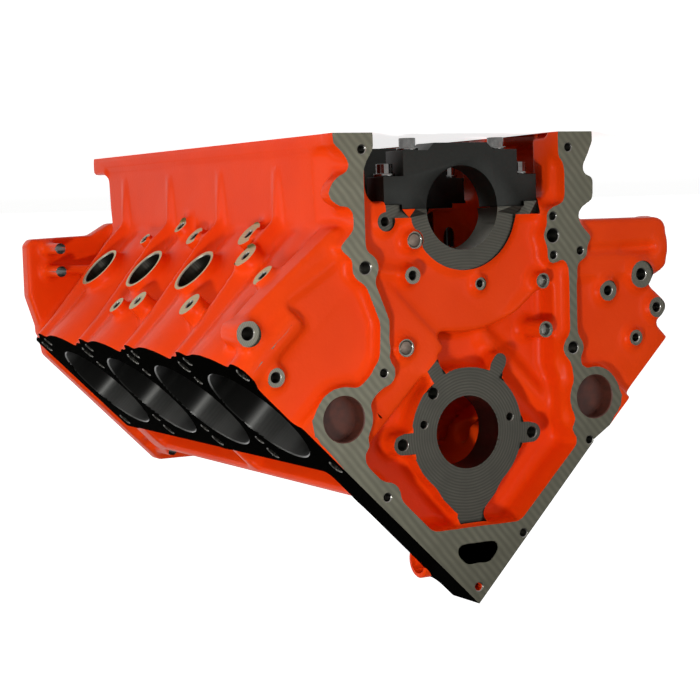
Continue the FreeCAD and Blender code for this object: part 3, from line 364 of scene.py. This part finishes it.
print("shapes in the rough casting:", len(rough))

# %% [markdown]
# Sand and paint leave no sharp edge on a casting. Bevels could round it, but the bevel tool fails where
# many small faces meet, and a casting has hundreds of such places. A level set stores the distance to
# the surface on a fine grid, so the whole casting is rounded at once: grown by 5 mm and shrunk again it
# fills the inner corners, and shrunk and grown by 1.5 mm it rounds the outer edges.

# %% Cast it
VOXEL = 2.0
FILLET = 5.0
EDGE = 1.5
SPARE_VOXELS = 2


def level_set(points, triangles, quads, outside, inside):
    scale = openvdb.createLinearTransform(voxelSize=VOXEL)
    return openvdb.FloatGrid.createLevelSetFromPolygons(
        np.ascontiguousarray(points, dtype=np.float32), triangles=triangles, quads=quads, transform=scale,
        exBandWidth=outside / VOXEL + SPARE_VOXELS, inBandWidth=inside / VOXEL + SPARE_VOXELS)


def surface(grid, distance):
    points, triangles, quads = grid.convertToPolygons(isovalue=distance, adaptivity=0.0)
    return points, triangles if len(triangles) else None, quads if len(quads) else None


points, triangles = joined(rough)
grown = surface(level_set(points, triangles.astype(np.uint32), None, FILLET, 0), FILLET)
shrunk = surface(level_set(*grown, 0, FILLET + EDGE), -FILLET - EDGE)
points, triangles, quads = surface(level_set(*shrunk, EDGE, 0), EDGE)
faces = [] if triangles is None else triangles.tolist()
faces += [] if quads is None else quads.tolist()
print("casting:", len(points), "points,", len(faces), "faces")

# %% [markdown]
# The level set comes back as an even net of small faces, far more than the flat walls need. It could be
# remeshed to larger faces, but that blurs the fillets. The Decimate modifier drops faces where the
# surface is flat and keeps them where it bends.

# %% Bring it into Blender with fewer faces
FINISHES = ["enamel", "front_milled", "rear_milled", "rail_milled", "deck_milled", "turned_face",
            "spot_face", "boss_face", "honed_left", "honed_right", "bored", "drilled", "port_wall",
            "cap_seat"]
CAST_TRIANGLES = 140000


def new_object(name, points, faces):
    mesh = bpy.data.meshes.new(name)
    mesh.from_pydata((np.asarray(points) * MM).tolist(), [], np.asarray(faces, dtype=object).tolist())
    made = bpy.data.objects.new(name, mesh)
    bpy.context.scene.collection.objects.link(made)
    return made


def apply_modifiers(made):
    """Turns the object's modifiers into its own mesh."""
    bpy.context.view_layer.update()
    graph = bpy.context.evaluated_depsgraph_get()
    old = made.data
    made.data = bpy.data.meshes.new_from_object(made.evaluated_get(graph))
    made.modifiers.clear()
    bpy.data.meshes.remove(old)


casting = new_object("painted_block", points, faces)
for finish in FINISHES:
    casting.data.materials.append(bpy.data.materials.new(finish))
fewer = casting.modifiers.new("fewer", "DECIMATE")
fewer.ratio = CAST_TRIANGLES / (2 * len(faces))
fewer.use_collapse_triangulate = True
apply_modifiers(casting)
print("casting in Blender:", len(casting.data.polygons), "faces")

# %% [markdown]
# Machining. On the real block each face and hole is cut through the skin of the casting, so bare iron
# shows exactly where the tool went. It could be painted on with a mask, but its edge would wander.
# Here each cutter is a closed shape, and the faces that it leaves take its finish, so the paint ends
# where the metal was cut.

# %% The cut
def cut(shape, finish):
    cutter = new_object("cutter", *shape)
    for name in FINISHES:
        cutter.data.materials.append(bpy.data.materials[name])
    index = FINISHES.index(finish)
    cutter.data.polygons.foreach_set("material_index", [index] * len(cutter.data.polygons))
    tidy = bmesh.new()
    tidy.from_mesh(cutter.data)
    bmesh.ops.recalc_face_normals(tidy, faces=tidy.faces)
    tidy.to_mesh(cutter.data)
    tidy.free()
    tool = casting.modifiers.new("cut", "BOOLEAN")
    tool.operation = "DIFFERENCE"
    tool.solver = "MANIFOLD"
    tool.object = cutter
    before = len(casting.data.polygons)
    apply_modifiers(casting)
    print(f"{finish}: {before} faces, then {len(casting.data.polygons)}")
    bpy.data.objects.remove(cutter)


# %% Mill the planes right across the block
SLAB_REACH = 900
SLAB_DEPTH = 40


def slab(normal, height):
    """All the space outside a plane."""
    side, other = plane_axes(normal)
    points, faces = block_box((-SLAB_REACH, -SLAB_REACH, 0), (SLAB_REACH, SLAB_REACH, SLAB_DEPTH))
    turned = np.outer(points[:, 0], side) + np.outer(points[:, 1], other)
    return turned + np.outer(points[:, 2] + height, normal), faces


for finish, normal, height in milled:
    cut(slab(normal, height), finish)

# %% Turn and spot-face the seats
SEAT_WIDER = 1.0


def seat_cutter(finish, normal, height):
    """The flat region of a seat, a little wider, run outwards."""
    triangles = machined(finish, normal, height)
    used, numbers = np.unique(triangles, return_inverse=True)
    flat = bmesh.new()
    corners = [flat.verts.new(point) for point in skin_points[used]]
    for triangle in numbers.reshape(-1, 3):
        flat.faces.new([corners[i] for i in triangle])
    bmesh.ops.inset_region(flat, faces=flat.faces[:], thickness=SEAT_WIDER, use_outset=True,
                           use_boundary=True, use_even_offset=True)
    run = bmesh.ops.extrude_face_region(flat, geom=flat.faces[:])
    moved = [item for item in run["geom"] if isinstance(item, bmesh.types.BMVert)]
    bmesh.ops.translate(flat, verts=moved, vec=Vector(normal * (2 * STOCK)))
    bmesh.ops.triangulate(flat, faces=flat.faces[:])
    flat.verts.index_update()
    points = np.array([v.co for v in flat.verts])
    faces = np.array([[v.index for v in face.verts] for face in flat.faces])
    flat.free()
    return points, faces


for finish, normal, height in seats:
    cut(seat_cutter(finish, normal, height), finish)

# %% Broach the cap seats and line-bore the bearings
# The inner seat reaches the parting plane, and the outer one stands a little lower and wider. The main
# line runs out behind the last bulkhead, and the cam line stops in front of its plug.
INNER_SEAT_HALF = 60
OUTER_SEAT_HALF, OUTER_SEAT_DEPTH = 75.2, 4
CAP_SPACE = 80
LINE_START = -20
MAIN_LINE_PAST = 5
CAM_LINE_SHORT = 9
LINE_SIDES = 96
first, last = bulkheads[0][0] - 2 * STOCK, bulkheads[-1][1] + 2 * STOCK
cut(block_box((-INNER_SEAT_HALF, first, -CAP_SPACE), (INNER_SEAT_HALF, last, 0)), "cap_seat")
cut(block_box((-OUTER_SEAT_HALF, first, -CAP_SPACE), (OUTER_SEAT_HALF, last, -OUTER_SEAT_DEPTH)), "cap_seat")
cut(plug(crank_axis, REAR, main_bore_radius, LINE_START, last + MAIN_LINE_PAST, LINE_SIDES), "bored")
cam_end = bulkheads[-1][1] - CAM_LINE_SHORT
cut(plug(cam_axis, REAR, cam_bore_radius, LINE_START, cam_end, LINE_SIDES), "bored")

# %% Hone the bores and drill the holes
# The small holes are bright inside. The water ports in the front face are as cast, in a dark red-brown that
# is painted shade.
BORE_DEPTH = 137.0
BORE_CHAMFER = 1.0
HOLE_CHAMFER = 0.8
DRILL_PAST = 1.0
PORT_LEAST_RADIUS = 15
SMALL_SIDES, LARGE_SIDES = 32, 64


def drill(normal, centre, radius, depth, chamfer):
    over = 2 * STOCK
    wide = radius + chamfer
    profile = [(0, over), (wide, over), (wide, 0), (radius, -chamfer), (radius, -depth), (0, -depth)]
    return lathe(profile, centre, normal, LARGE_SIDES if radius > DRILL_MOST_RADIUS else SMALL_SIDES)


def holes_along(normal, least, most):
    """The drilled holes of one direction whose radius lies between two sizes."""
    return [(n, c, r, d + DRILL_PAST) for n, c, r, d in drilled
            if n @ normal > SAME_AXIS and least < r < most]


for side, deck_axis in decks.items():
    line = [drill(n, c, r, BORE_DEPTH, BORE_CHAMFER) for n, c, r, _ in bores if n @ deck_axis > SAME_AXIS]
    cut(joined(line), f"honed_{side}")
for normal in (FRONT, REAR, DOWN, *decks.values(), *sides.values(), filter_normal):
    large_finish = "port_wall" if normal @ FRONT > SAME_AXIS else "bored"
    for finish, least, most in (("drilled", 0, PORT_LEAST_RADIUS),
                                (large_finish, PORT_LEAST_RADIUS, DRILL_MOST_RADIUS)):
        line = [drill(*hole, HOLE_CHAMFER) for hole in holes_along(normal, least, most)]
        if line:
            cut(joined(line), finish)

# %% [markdown]
# The pocket under the apex screw is cast, and its corners are narrower than the level set can keep. The
# whole casting could be made on a finer grid, but that costs minutes. The pocket alone is cut again
# from its own outline, and stays painted.

# %% Open the apex pocket again
POCKET_DEPTH = 30.0
POCKET_OFF_CENTRE = 5
POCKET_ABOVE_CAM = 60
POCKET_MOST_WIDTH = 90


def pocket(normal, height, depth):
    """The outline of the pocket, run inwards, with its own narrow corners."""
    for loop in boundary_loops(flat_face(normal, height)):
        points = skin_points[loop]
        span = points.max(axis=0) - points.min(axis=0)
        middle = points.mean(axis=0)
        central = abs(middle[0]) < POCKET_OFF_CENTRE and middle[2] > cam_height + POCKET_ABOVE_CAM
        if central and span[0] < POCKET_MOST_WIDTH:
            flat = np.array(tessellate_polygon([[Vector(point) for point in points]]))
            ring = np.arange(len(points))
            after = (ring + 1) % len(points)
            far = len(points)
            walls = np.concatenate([np.stack([ring, after, after + far], axis=1),
                                    np.stack([ring, after + far, ring + far], axis=1)])
            ends = [points + STOCK * normal, points - depth * normal]
            return np.concatenate(ends), np.concatenate([flat, flat[:, ::-1] + far, walls])


cut(pocket(FRONT, 0.0, POCKET_DEPTH), "enamel")

# %% Smooth the cast and round faces, and keep the milled ones flat
# Faces with many corners can bend under smooth light, so they are split into triangles first.
MOST_CORNERS = 4
CASTING_SHARP = math.radians(32)
split = bmesh.new()
split.from_mesh(casting.data)
bmesh.ops.triangulate(split, faces=[face for face in split.faces if len(face.verts) > MOST_CORNERS])
split.to_mesh(casting.data)
split.free()
casting.data.set_sharp_from_angle(angle=CASTING_SHARP)
kinds = np.empty(len(casting.data.polygons), np.int32)
casting.data.polygons.foreach_get("material_index", kinds)
rounded = [FINISHES.index(name) for name in ("enamel", "honed_left", "honed_right", "bored", "drilled")]
casting.data.polygons.foreach_set("use_smooth", np.isin(kinds, rounded))
print("triangles in the block:", sum(len(p.vertices) - 2 for p in casting.data.polygons))

# %% [markdown]
# The caps, bolts, plugs and dowels keep the CAD's own shapes. They could be drawn again by hand, but
# their sizes are already right. Only their edges are broken a little, as on the real parts, because a
# perfectly sharp edge never catches the light.

# %% Copy a small part with broken edges
SAME_FLAT = math.radians(1)
BEVEL_FROM = math.radians(35)
PART_SHARP = math.radians(40)


def smooth(made, sharp):
    made.data.polygons.foreach_set("use_smooth", [True] * len(made.data.polygons))
    made.data.set_sharp_from_angle(angle=sharp)


def softened(node, width, material):
    source = frame["nodes"][node]
    made = bpy.data.objects.new(f"{node}_finished", source.data.copy())
    made.matrix_world = source.matrix_world.copy()
    bpy.context.scene.collection.objects.link(made)
    welded = bmesh.new()
    welded.from_mesh(made.data)
    bmesh.ops.remove_doubles(welded, verts=welded.verts, dist=WELD)
    bmesh.ops.dissolve_limit(welded, angle_limit=SAME_FLAT, verts=welded.verts, edges=welded.edges)
    welded.to_mesh(made.data)
    welded.free()
    made.data.materials.clear()
    made.data.materials.append(bpy.data.materials.get(material) or bpy.data.materials.new(material))
    bevel = made.modifiers.new("edges", "BEVEL")
    bevel.width = width * MM
    bevel.segments = 2
    bevel.limit_method = "ANGLE"
    bevel.angle_limit = BEVEL_FROM
    apply_modifiers(made)
    smooth(made, PART_SHARP)
    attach(made, "root")
    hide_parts(node)


# %% The caps, bolts, plugs and dowels
for number in CAP_NUMBERS:
    softened(f"main_cap_{number}", 0.9, "cap_black")
    for row in ("inner", "outer"):
        softened(f"{row}_bolts_cap_{number}", 0.35, "bolt_black")
softened("front_gallery_plugs", 0.5, "zinc_plug")
softened("rear_cam_plug", 0.8, "cup_plug")
softened("bell_housing_dowels", 0.5, "ground_steel")

# %% [markdown]
# A short hose stub stands in the valley behind the front wall, painted with the rest. It could be a
# tube with a thickness modifier. Turning its section on the lathe gives the chamfered rim at once.
# It and the casting are both shown in place of the CAD's block.

# %% The hose stub
STUB_PLACE = np.array([27.0, 54.0, 301.0])
STUB_AXIS = np.array([1.0, 0, 0])
STUB_LENGTH, STUB_RADIUS, STUB_BORE = 36.0, 15.0, 11.0
STUB_BORE_DEPTH = 28
STUB_CHAMFER = 1
STUB_SHARP = math.radians(50)
stub_profile = [(0, -STUB_LENGTH), (STUB_RADIUS, -STUB_LENGTH), (STUB_RADIUS, -STUB_CHAMFER),
                (STUB_RADIUS - STUB_CHAMFER, 0), (STUB_BORE, 0), (STUB_BORE, -STUB_BORE_DEPTH),
                (0, -STUB_BORE_DEPTH)]
stub = new_object("hose_stub", *lathe(stub_profile, STUB_PLACE, STUB_AXIS))
stub.data.materials.append(bpy.data.materials["enamel"])
smooth(stub, STUB_SHARP)
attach(stub, "root")
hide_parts("cylinder_block")
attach(casting, "root")
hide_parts("cylinder_block")

# %% [markdown]
# Materials. Each is built from nodes, so it has no image to stretch and looks right from near and far.
# An image would need the casting to be unwrapped, and its thousands of small faces unwrap badly. Patterns
# are placed by the object's own coordinates, in millimetres, so each has a real size.

# %% Colours and nodes
def hex_colour(code):
    """A linear colour from an sRGB hex code."""
    parts = [int(code[i:i + 2], 16) / 255 for i in (1, 3, 5)]
    linear = [c / 12.92 if c <= 0.04045 else ((c + 0.055) / 1.055) ** 2.4 for c in parts]
    return (*linear, 1.0)


def set_values(node, **values):
    """Sets a node's own inputs. An underline stands for the space in an input's name."""
    for name, value in values.items():
        node.inputs[name.replace("_", " ")].default_value = value


def add_node(tree, kind, settings=(), **inputs):
    """A new node with its settings. An input is either a value or another node's output."""
    node = tree.nodes.new("ShaderNode" + kind)
    for name, value in dict(settings).items():
        setattr(node, name, value)
    for name, value in inputs.items():
        if isinstance(value, bpy.types.NodeSocket):
            tree.links.new(value, node.inputs[name.replace("_", " ")])
        else:
            set_values(node, **{name: value})
    return node


def start_material(name):
    material = bpy.data.materials.get(name) or bpy.data.materials.new(name)
    material.use_nodes = True
    tree = material.node_tree
    tree.nodes.clear()
    shader = add_node(tree, "BsdfPrincipled")
    output = add_node(tree, "OutputMaterial")
    tree.links.new(shader.outputs["BSDF"], output.inputs["Surface"])
    return tree, shader


def object_place(tree, offset=(0, 0, 0), turn=(0, 0, 0)):
    """Object coordinates in millimetres, moved and turned."""
    place = add_node(tree, "TexCoord").outputs["Object"]
    moved = add_node(tree, "Mapping", {"vector_type": "TEXTURE"}, Vector=place,
                     Location=[v * MM for v in offset], Rotation=[math.radians(v) for v in turn],
                     Scale=[MM, MM, MM])
    return moved.outputs["Vector"]


# %% Tone and relief
# The Mix node has several inputs of one name, one for each kind of data, so these are told by number.
MIX_FACTOR, MIX_DARK, MIX_LIGHT, MIX_RESULT = 0, 6, 7, 2


def surface_finish(tree, shader, tone, dark, light, relief, depth_mm, strength):
    """Colour that runs from dark to light with the tone, and small relief from another pattern."""
    blend = add_node(tree, "Mix", {"data_type": "RGBA"})
    tree.links.new(tone, blend.inputs[MIX_FACTOR])
    blend.inputs[MIX_DARK].default_value = hex_colour(dark)
    blend.inputs[MIX_LIGHT].default_value = hex_colour(light)
    tree.links.new(blend.outputs[MIX_RESULT], shader.inputs["Base Color"])
    if depth_mm > 0:
        raised = add_node(tree, "Bump", Height=relief, Distance=depth_mm * MM, Strength=strength)
        tree.links.new(raised.outputs["Normal"], shader.inputs["Normal"])

# %% [markdown]
# The paint is sprayed orange engine enamel over a sand casting. The sand's grain could be modelled, but
# at 2 mm it is finer than the casting's faces, so it is a bump. A slow change of tone keeps wide walls
# from looking printed. Enamel has a plain gloss, kept low here so that its orange stays deep.

# %% Sprayed enamel
GRAINS_PER_MM = 0.45
CLOUD_MM = 50
tree, shader = start_material("enamel")
grain = add_node(tree, "TexNoise", Vector=object_place(tree), Scale=GRAINS_PER_MM, Detail=3.0)
cloud = add_node(tree, "TexNoise", Vector=object_place(tree), Scale=1 / CLOUD_MM, Detail=2.0)
surface_finish(tree, shader, cloud.outputs["Fac"], "#D93804", "#E9440A", grain.outputs["Fac"],
               depth_mm=0.25, strength=0.55)
set_values(shader, Roughness=0.36, Specular_IOR_Level=0.08)
print("grain of the paint:", round(1 / GRAINS_PER_MM, 1), "mm")

# %% [markdown]
# Bare iron shows how it was cut: a face mill leaves slanting bands, a turned face has rings, and a bore
# or a drilled hole has rings across its axis. Real marks are a few tenths of a millimetre apart, too fine
# to show, so each is drawn some millimetres apart. The marks could be an anisotropic shader alone, but
# then a flat face would look blank. A wave texture gives the bands, and slow noise wears them unevenly.

# %% Cut iron
WAVES_PER_UNIT = 3.2
WORN_PER_MM = 0.06
BANDS = {"wave_type": "BANDS", "bands_direction": "X"}
CROSSWISE = {"wave_type": "BANDS", "bands_direction": "Y"}
RINGS = {"wave_type": "RINGS", "rings_direction": "Y"}


def cut_iron(name, dark, light, roughness, wave, pitch, depth, turn=(0, 0, 0), offset=(0, 0, 0)):
    """Iron with straight or round tool marks, with their pitch and depth in millimetres."""
    tree, shader = start_material(name)
    place = object_place(tree, offset, turn)
    marks = add_node(tree, "TexWave", wave, Vector=place, Scale=1 / (WAVES_PER_UNIT * pitch),
                     Distortion=1.2, Detail=2.0)
    worn = add_node(tree, "TexNoise", Vector=place, Scale=WORN_PER_MM, Detail=3.0)
    both = add_node(tree, "Math", {"operation": "MULTIPLY"})
    tree.links.new(marks.outputs["Fac"], both.inputs[0])
    tree.links.new(worn.outputs["Fac"], both.inputs[1])
    surface_finish(tree, shader, both.outputs["Value"], dark, light, marks.outputs["Fac"], depth,
                   strength=0.5)
    set_values(shader, Metallic=1.0, Roughness=roughness)
    return tree, shader


# Face-milled iron: grey with a green cast, and a soft sheen that shows the cutter's path.
cut_iron("front_milled", "#57564B", "#6C6A5C", 0.38, BANDS, pitch=6.0, depth=0.01, turn=(0, -40, 0))
cut_iron("rear_milled", "#57564B", "#6C6A5C", 0.38, BANDS, pitch=6.0, depth=0.01, turn=(0, 35, 0))
cut_iron("rail_milled", "#57564B", "#6C6A5C", 0.42, CROSSWISE, pitch=4.0, depth=0.01)
# The decks' near-black iron is painted shade, and its tint is a painted dark reflection.
tree, shader = cut_iron("deck_milled", "#11110F", "#1B1B18", 0.5, CROSSWISE, pitch=4.0, depth=0.01)
set_values(shader, Specular_Tint=hex_colour("#4A4A46"))
# Turned iron: fine rings about the cam's axis, a shade darker than the milled face round it.
cut_iron("turned_face", "#403F3A", "#56544C", 0.45, RINGS, pitch=2.5, depth=0.02,
         offset=(0, 0, cam_height))
# Seats on the banks carry a warm film of old rust preventive, and those at the front are clean iron.
cut_iron("spot_face", "#8C845F", "#B0A67E", 0.4, RINGS, pitch=1.5, depth=0.01)
cut_iron("boss_face", "#55534A", "#75736A", 0.36, RINGS, pitch=1.5, depth=0.01)
# Line-bored walls are bright, and drilled ones have ridges at the pitch of a coarse thread.
cut_iron("bored", "#6A6860", "#8E8B80", 0.3, CROSSWISE, pitch=1.2, depth=0.01)
cut_iron("drilled", "#5C5A54", "#A3A19B", 0.3, CROSSWISE, pitch=1.75, depth=0.4)
cut_iron("cap_seat", "#5E5C50", "#7C796A", 0.4, BANDS, pitch=2.5, depth=0.01)
print("finishes of the block:", len(casting.data.materials))

# %% [markdown]
# A honed bore shines in one narrow band. Its marks run round the bore, so its shine is smeared along
# the bore's axis. The marks could be bumps, but they are far finer than any view can show, so the
# shader's own anisotropy does it, with the bore's axis as its tangent.

# %% Honed bores
for side, axis in decks.items():
    tree, shader = cut_iron(f"honed_{side}", "#4A4A48", "#50504E", 0.34, CROSSWISE, pitch=2.0, depth=0)
    way = add_node(tree, "CombineXYZ", X=axis[0], Y=axis[1], Z=axis[2])
    tree.links.new(way.outputs["Vector"], shader.inputs["Tangent"])
    set_values(shader, Anisotropic=0.95)
print("honed along:", [axis.round(2).tolist() for axis in decks.values()])

# %% [markdown]
# The separate parts. The caps are cast iron under a black oxide, dull and a little grainy. The bolts are
# forged steel, smoother and brighter. The plugs are zinc-plated or brown with primer, the water ports are
# a dark red-brown that is painted shade, and the dowels are ground steel, the smoothest of all.


# %% Oxide, plate, painted shade and ground steel
def grained(name, dark, light, roughness, metallic=1.0, grain_mm=3.0, depth=0.05):
    """A finish with even fine grain and no direction."""
    tree, shader = start_material(name)
    grain = add_node(tree, "TexNoise", Vector=object_place(tree), Scale=1 / grain_mm, Detail=3.0)
    surface_finish(tree, shader, grain.outputs["Fac"], dark, light, grain.outputs["Fac"], depth,
                   strength=0.4)
    set_values(shader, Metallic=metallic, Roughness=roughness)


grained("cap_black", "#0D0E0B", "#1A1C18", 0.42, metallic=0.6, grain_mm=2.5, depth=0.12)
grained("bolt_black", "#4A4A4A", "#7C7C7A", 0.22, grain_mm=4.0, depth=0.01)
grained("zinc_plug", "#5C5048", "#766A60", 0.42)
# The water ports' dark red-brown is painted shade in their hollows.
grained("port_wall", "#2A140C", "#5A2412", 0.6, metallic=0.0, grain_mm=6.0)
grained("cup_plug", "#5A3324", "#7A4A34", 0.5, metallic=0.7)
grained("ground_steel", "#8A8A88", "#B4B4B2", 0.25, depth=0.01)
print("materials:", len(bpy.data.materials))

# %% [markdown]
# The stage is a pale floor under the pan rails and a pale backdrop far behind. They could be lit until
# they are white, but then the block would be too bright as well. The camera and the reflections see
# extra white in them instead, and the floor still takes the block's shadow.

# %% Floor and backdrop
REACH = 12.0
BACKDROP_TOP = 8
FLOOR_GAP = 0.0002


def stage_material(name, colour, seen):
    """A pale surface to which the camera and the reflections add this much white, shadows kept."""
    tree, shader = start_material(name)
    set_values(shader, Base_Color=hex_colour(colour), Roughness=0.9, Specular_IOR_Level=0.0,
               Emission_Color=(1, 1, 1, 1))
    path = add_node(tree, "LightPath")
    either = add_node(tree, "Math", {"operation": "MAXIMUM"})
    tree.links.new(path.outputs["Is Camera Ray"], either.inputs[0])
    tree.links.new(path.outputs["Is Glossy Ray"], either.inputs[1])
    strength = add_node(tree, "Math", {"operation": "MULTIPLY"})
    tree.links.new(either.outputs["Value"], strength.inputs[0])
    strength.inputs[1].default_value = seen
    tree.links.new(strength.outputs["Value"], shader.inputs["Emission Strength"])
    return bpy.data.materials[name]


def stage_plane(name, corners, material):
    mesh = bpy.data.meshes.new(name)
    mesh.from_pydata(corners, [], [(0, 1, 2, 3)])
    mesh.materials.append(material)
    plane = bpy.data.objects.new(name, mesh)
    bpy.context.scene.collection.objects.link(plane)


floor_z = cad_box[0][2] - FLOOR_GAP
near_left, near_right = (-REACH, -REACH, floor_z), (REACH, -REACH, floor_z)
far_left, far_right = (-REACH, REACH, floor_z), (REACH, REACH, floor_z)
top_left, top_right = (-REACH, REACH, BACKDROP_TOP), (REACH, REACH, BACKDROP_TOP)
stage_plane("floor", [near_left, near_right, far_right, far_left],
            stage_material("pale_floor", "#F4F4F2", seen=0.8))
stage_plane("backdrop", [far_left, far_right, top_right, top_left],
            stage_material("pale_backdrop", "#FFFFFF", seen=1.0))
print("floor at", round(floor_z / MM, 1), "mm")

# %% [markdown]
# The light is soft and plain. One big lamp would do, but it would leave the bores flat. A wide lamp
# stands in front and one high behind, a long low one draws the right edges, and a small one sits where
# the honed bores throw it back as a narrow band.


# %% Lamps and world
def lamp(name, place, target, watts, width, height):
    light = bpy.data.lights.new(name, "AREA")
    light.shape = "RECTANGLE"
    light.size, light.size_y, light.energy = width, height, watts
    made = bpy.data.objects.new(name, light)
    made.location = place
    aim = Vector(target) - Vector(place)
    made.rotation_euler = aim.to_track_quat("-Z", "Y").to_euler()
    bpy.context.scene.collection.objects.link(made)


BLOCK_MIDDLE = (0, 0.25, 0.1)
LEFT_BORES = (0.14, 0.25, 0.16)
WORLD_LIGHT = 0.2
lamp("low_side", (1.6, 0.5, 0.0), BLOCK_MIDDLE, watts=7, width=1.2, height=0.1)
lamp("front", (-0.7, -2.2, 0.3), BLOCK_MIDDLE, watts=9, width=1.2, height=0.6)
lamp("high_back", (-0.6, 1.4, 2.0), BLOCK_MIDDLE, watts=8, width=1.6, height=1.6)
lamp("bank_side", (1.03, -0.9, 0.47), LEFT_BORES, watts=12, width=0.12, height=0.12)
world = bpy.data.worlds.new("studio")
bpy.context.scene.world = world
world.use_nodes = True
set_values(world.node_tree.nodes["Background"], Color=(1, 1, 1, 1), Strength=WORLD_LIGHT)
print("lamps:", len(bpy.data.lights))

# %% [markdown]
# The camera stands low in front of the left bank and is rolled nearly upside down, so the block shows
# its crankcase uppermost, as it is turned on an engine stand. The block could be turned over instead,
# but it keeps its own frame, and the camera moves.

# %% Camera
VIEW_YAW, VIEW_PITCH, VIEW_ROLL = (math.radians(a) for a in (28.89, 4.37, 178.28))
VIEW_PLACE = (0.8127, -1.2608, 0.0009)
SENSOR_WIDTH, LENS = 36.0, 92.81
forward = Vector((-math.sin(VIEW_YAW) * math.cos(VIEW_PITCH), math.cos(VIEW_YAW) * math.cos(VIEW_PITCH),
                  math.sin(VIEW_PITCH)))
level = Vector((math.cos(VIEW_YAW), math.sin(VIEW_YAW), 0))
upright = level.cross(forward)
right = math.cos(VIEW_ROLL) * level + math.sin(VIEW_ROLL) * upright
up = -math.sin(VIEW_ROLL) * level + math.cos(VIEW_ROLL) * upright
camera = bpy.data.objects.new("camera", bpy.data.cameras.new("camera"))
camera.data.sensor_width = SENSOR_WIDTH
camera.data.lens = LENS
camera.matrix_world = Matrix((right, up, -forward)).transposed().to_4x4()
camera.location = VIEW_PLACE
bpy.context.scene.collection.objects.link(camera)
bpy.context.scene.camera = camera
bpy.context.scene.view_settings.view_transform = "Standard"
print("camera looks along", [round(part, 3) for part in forward])
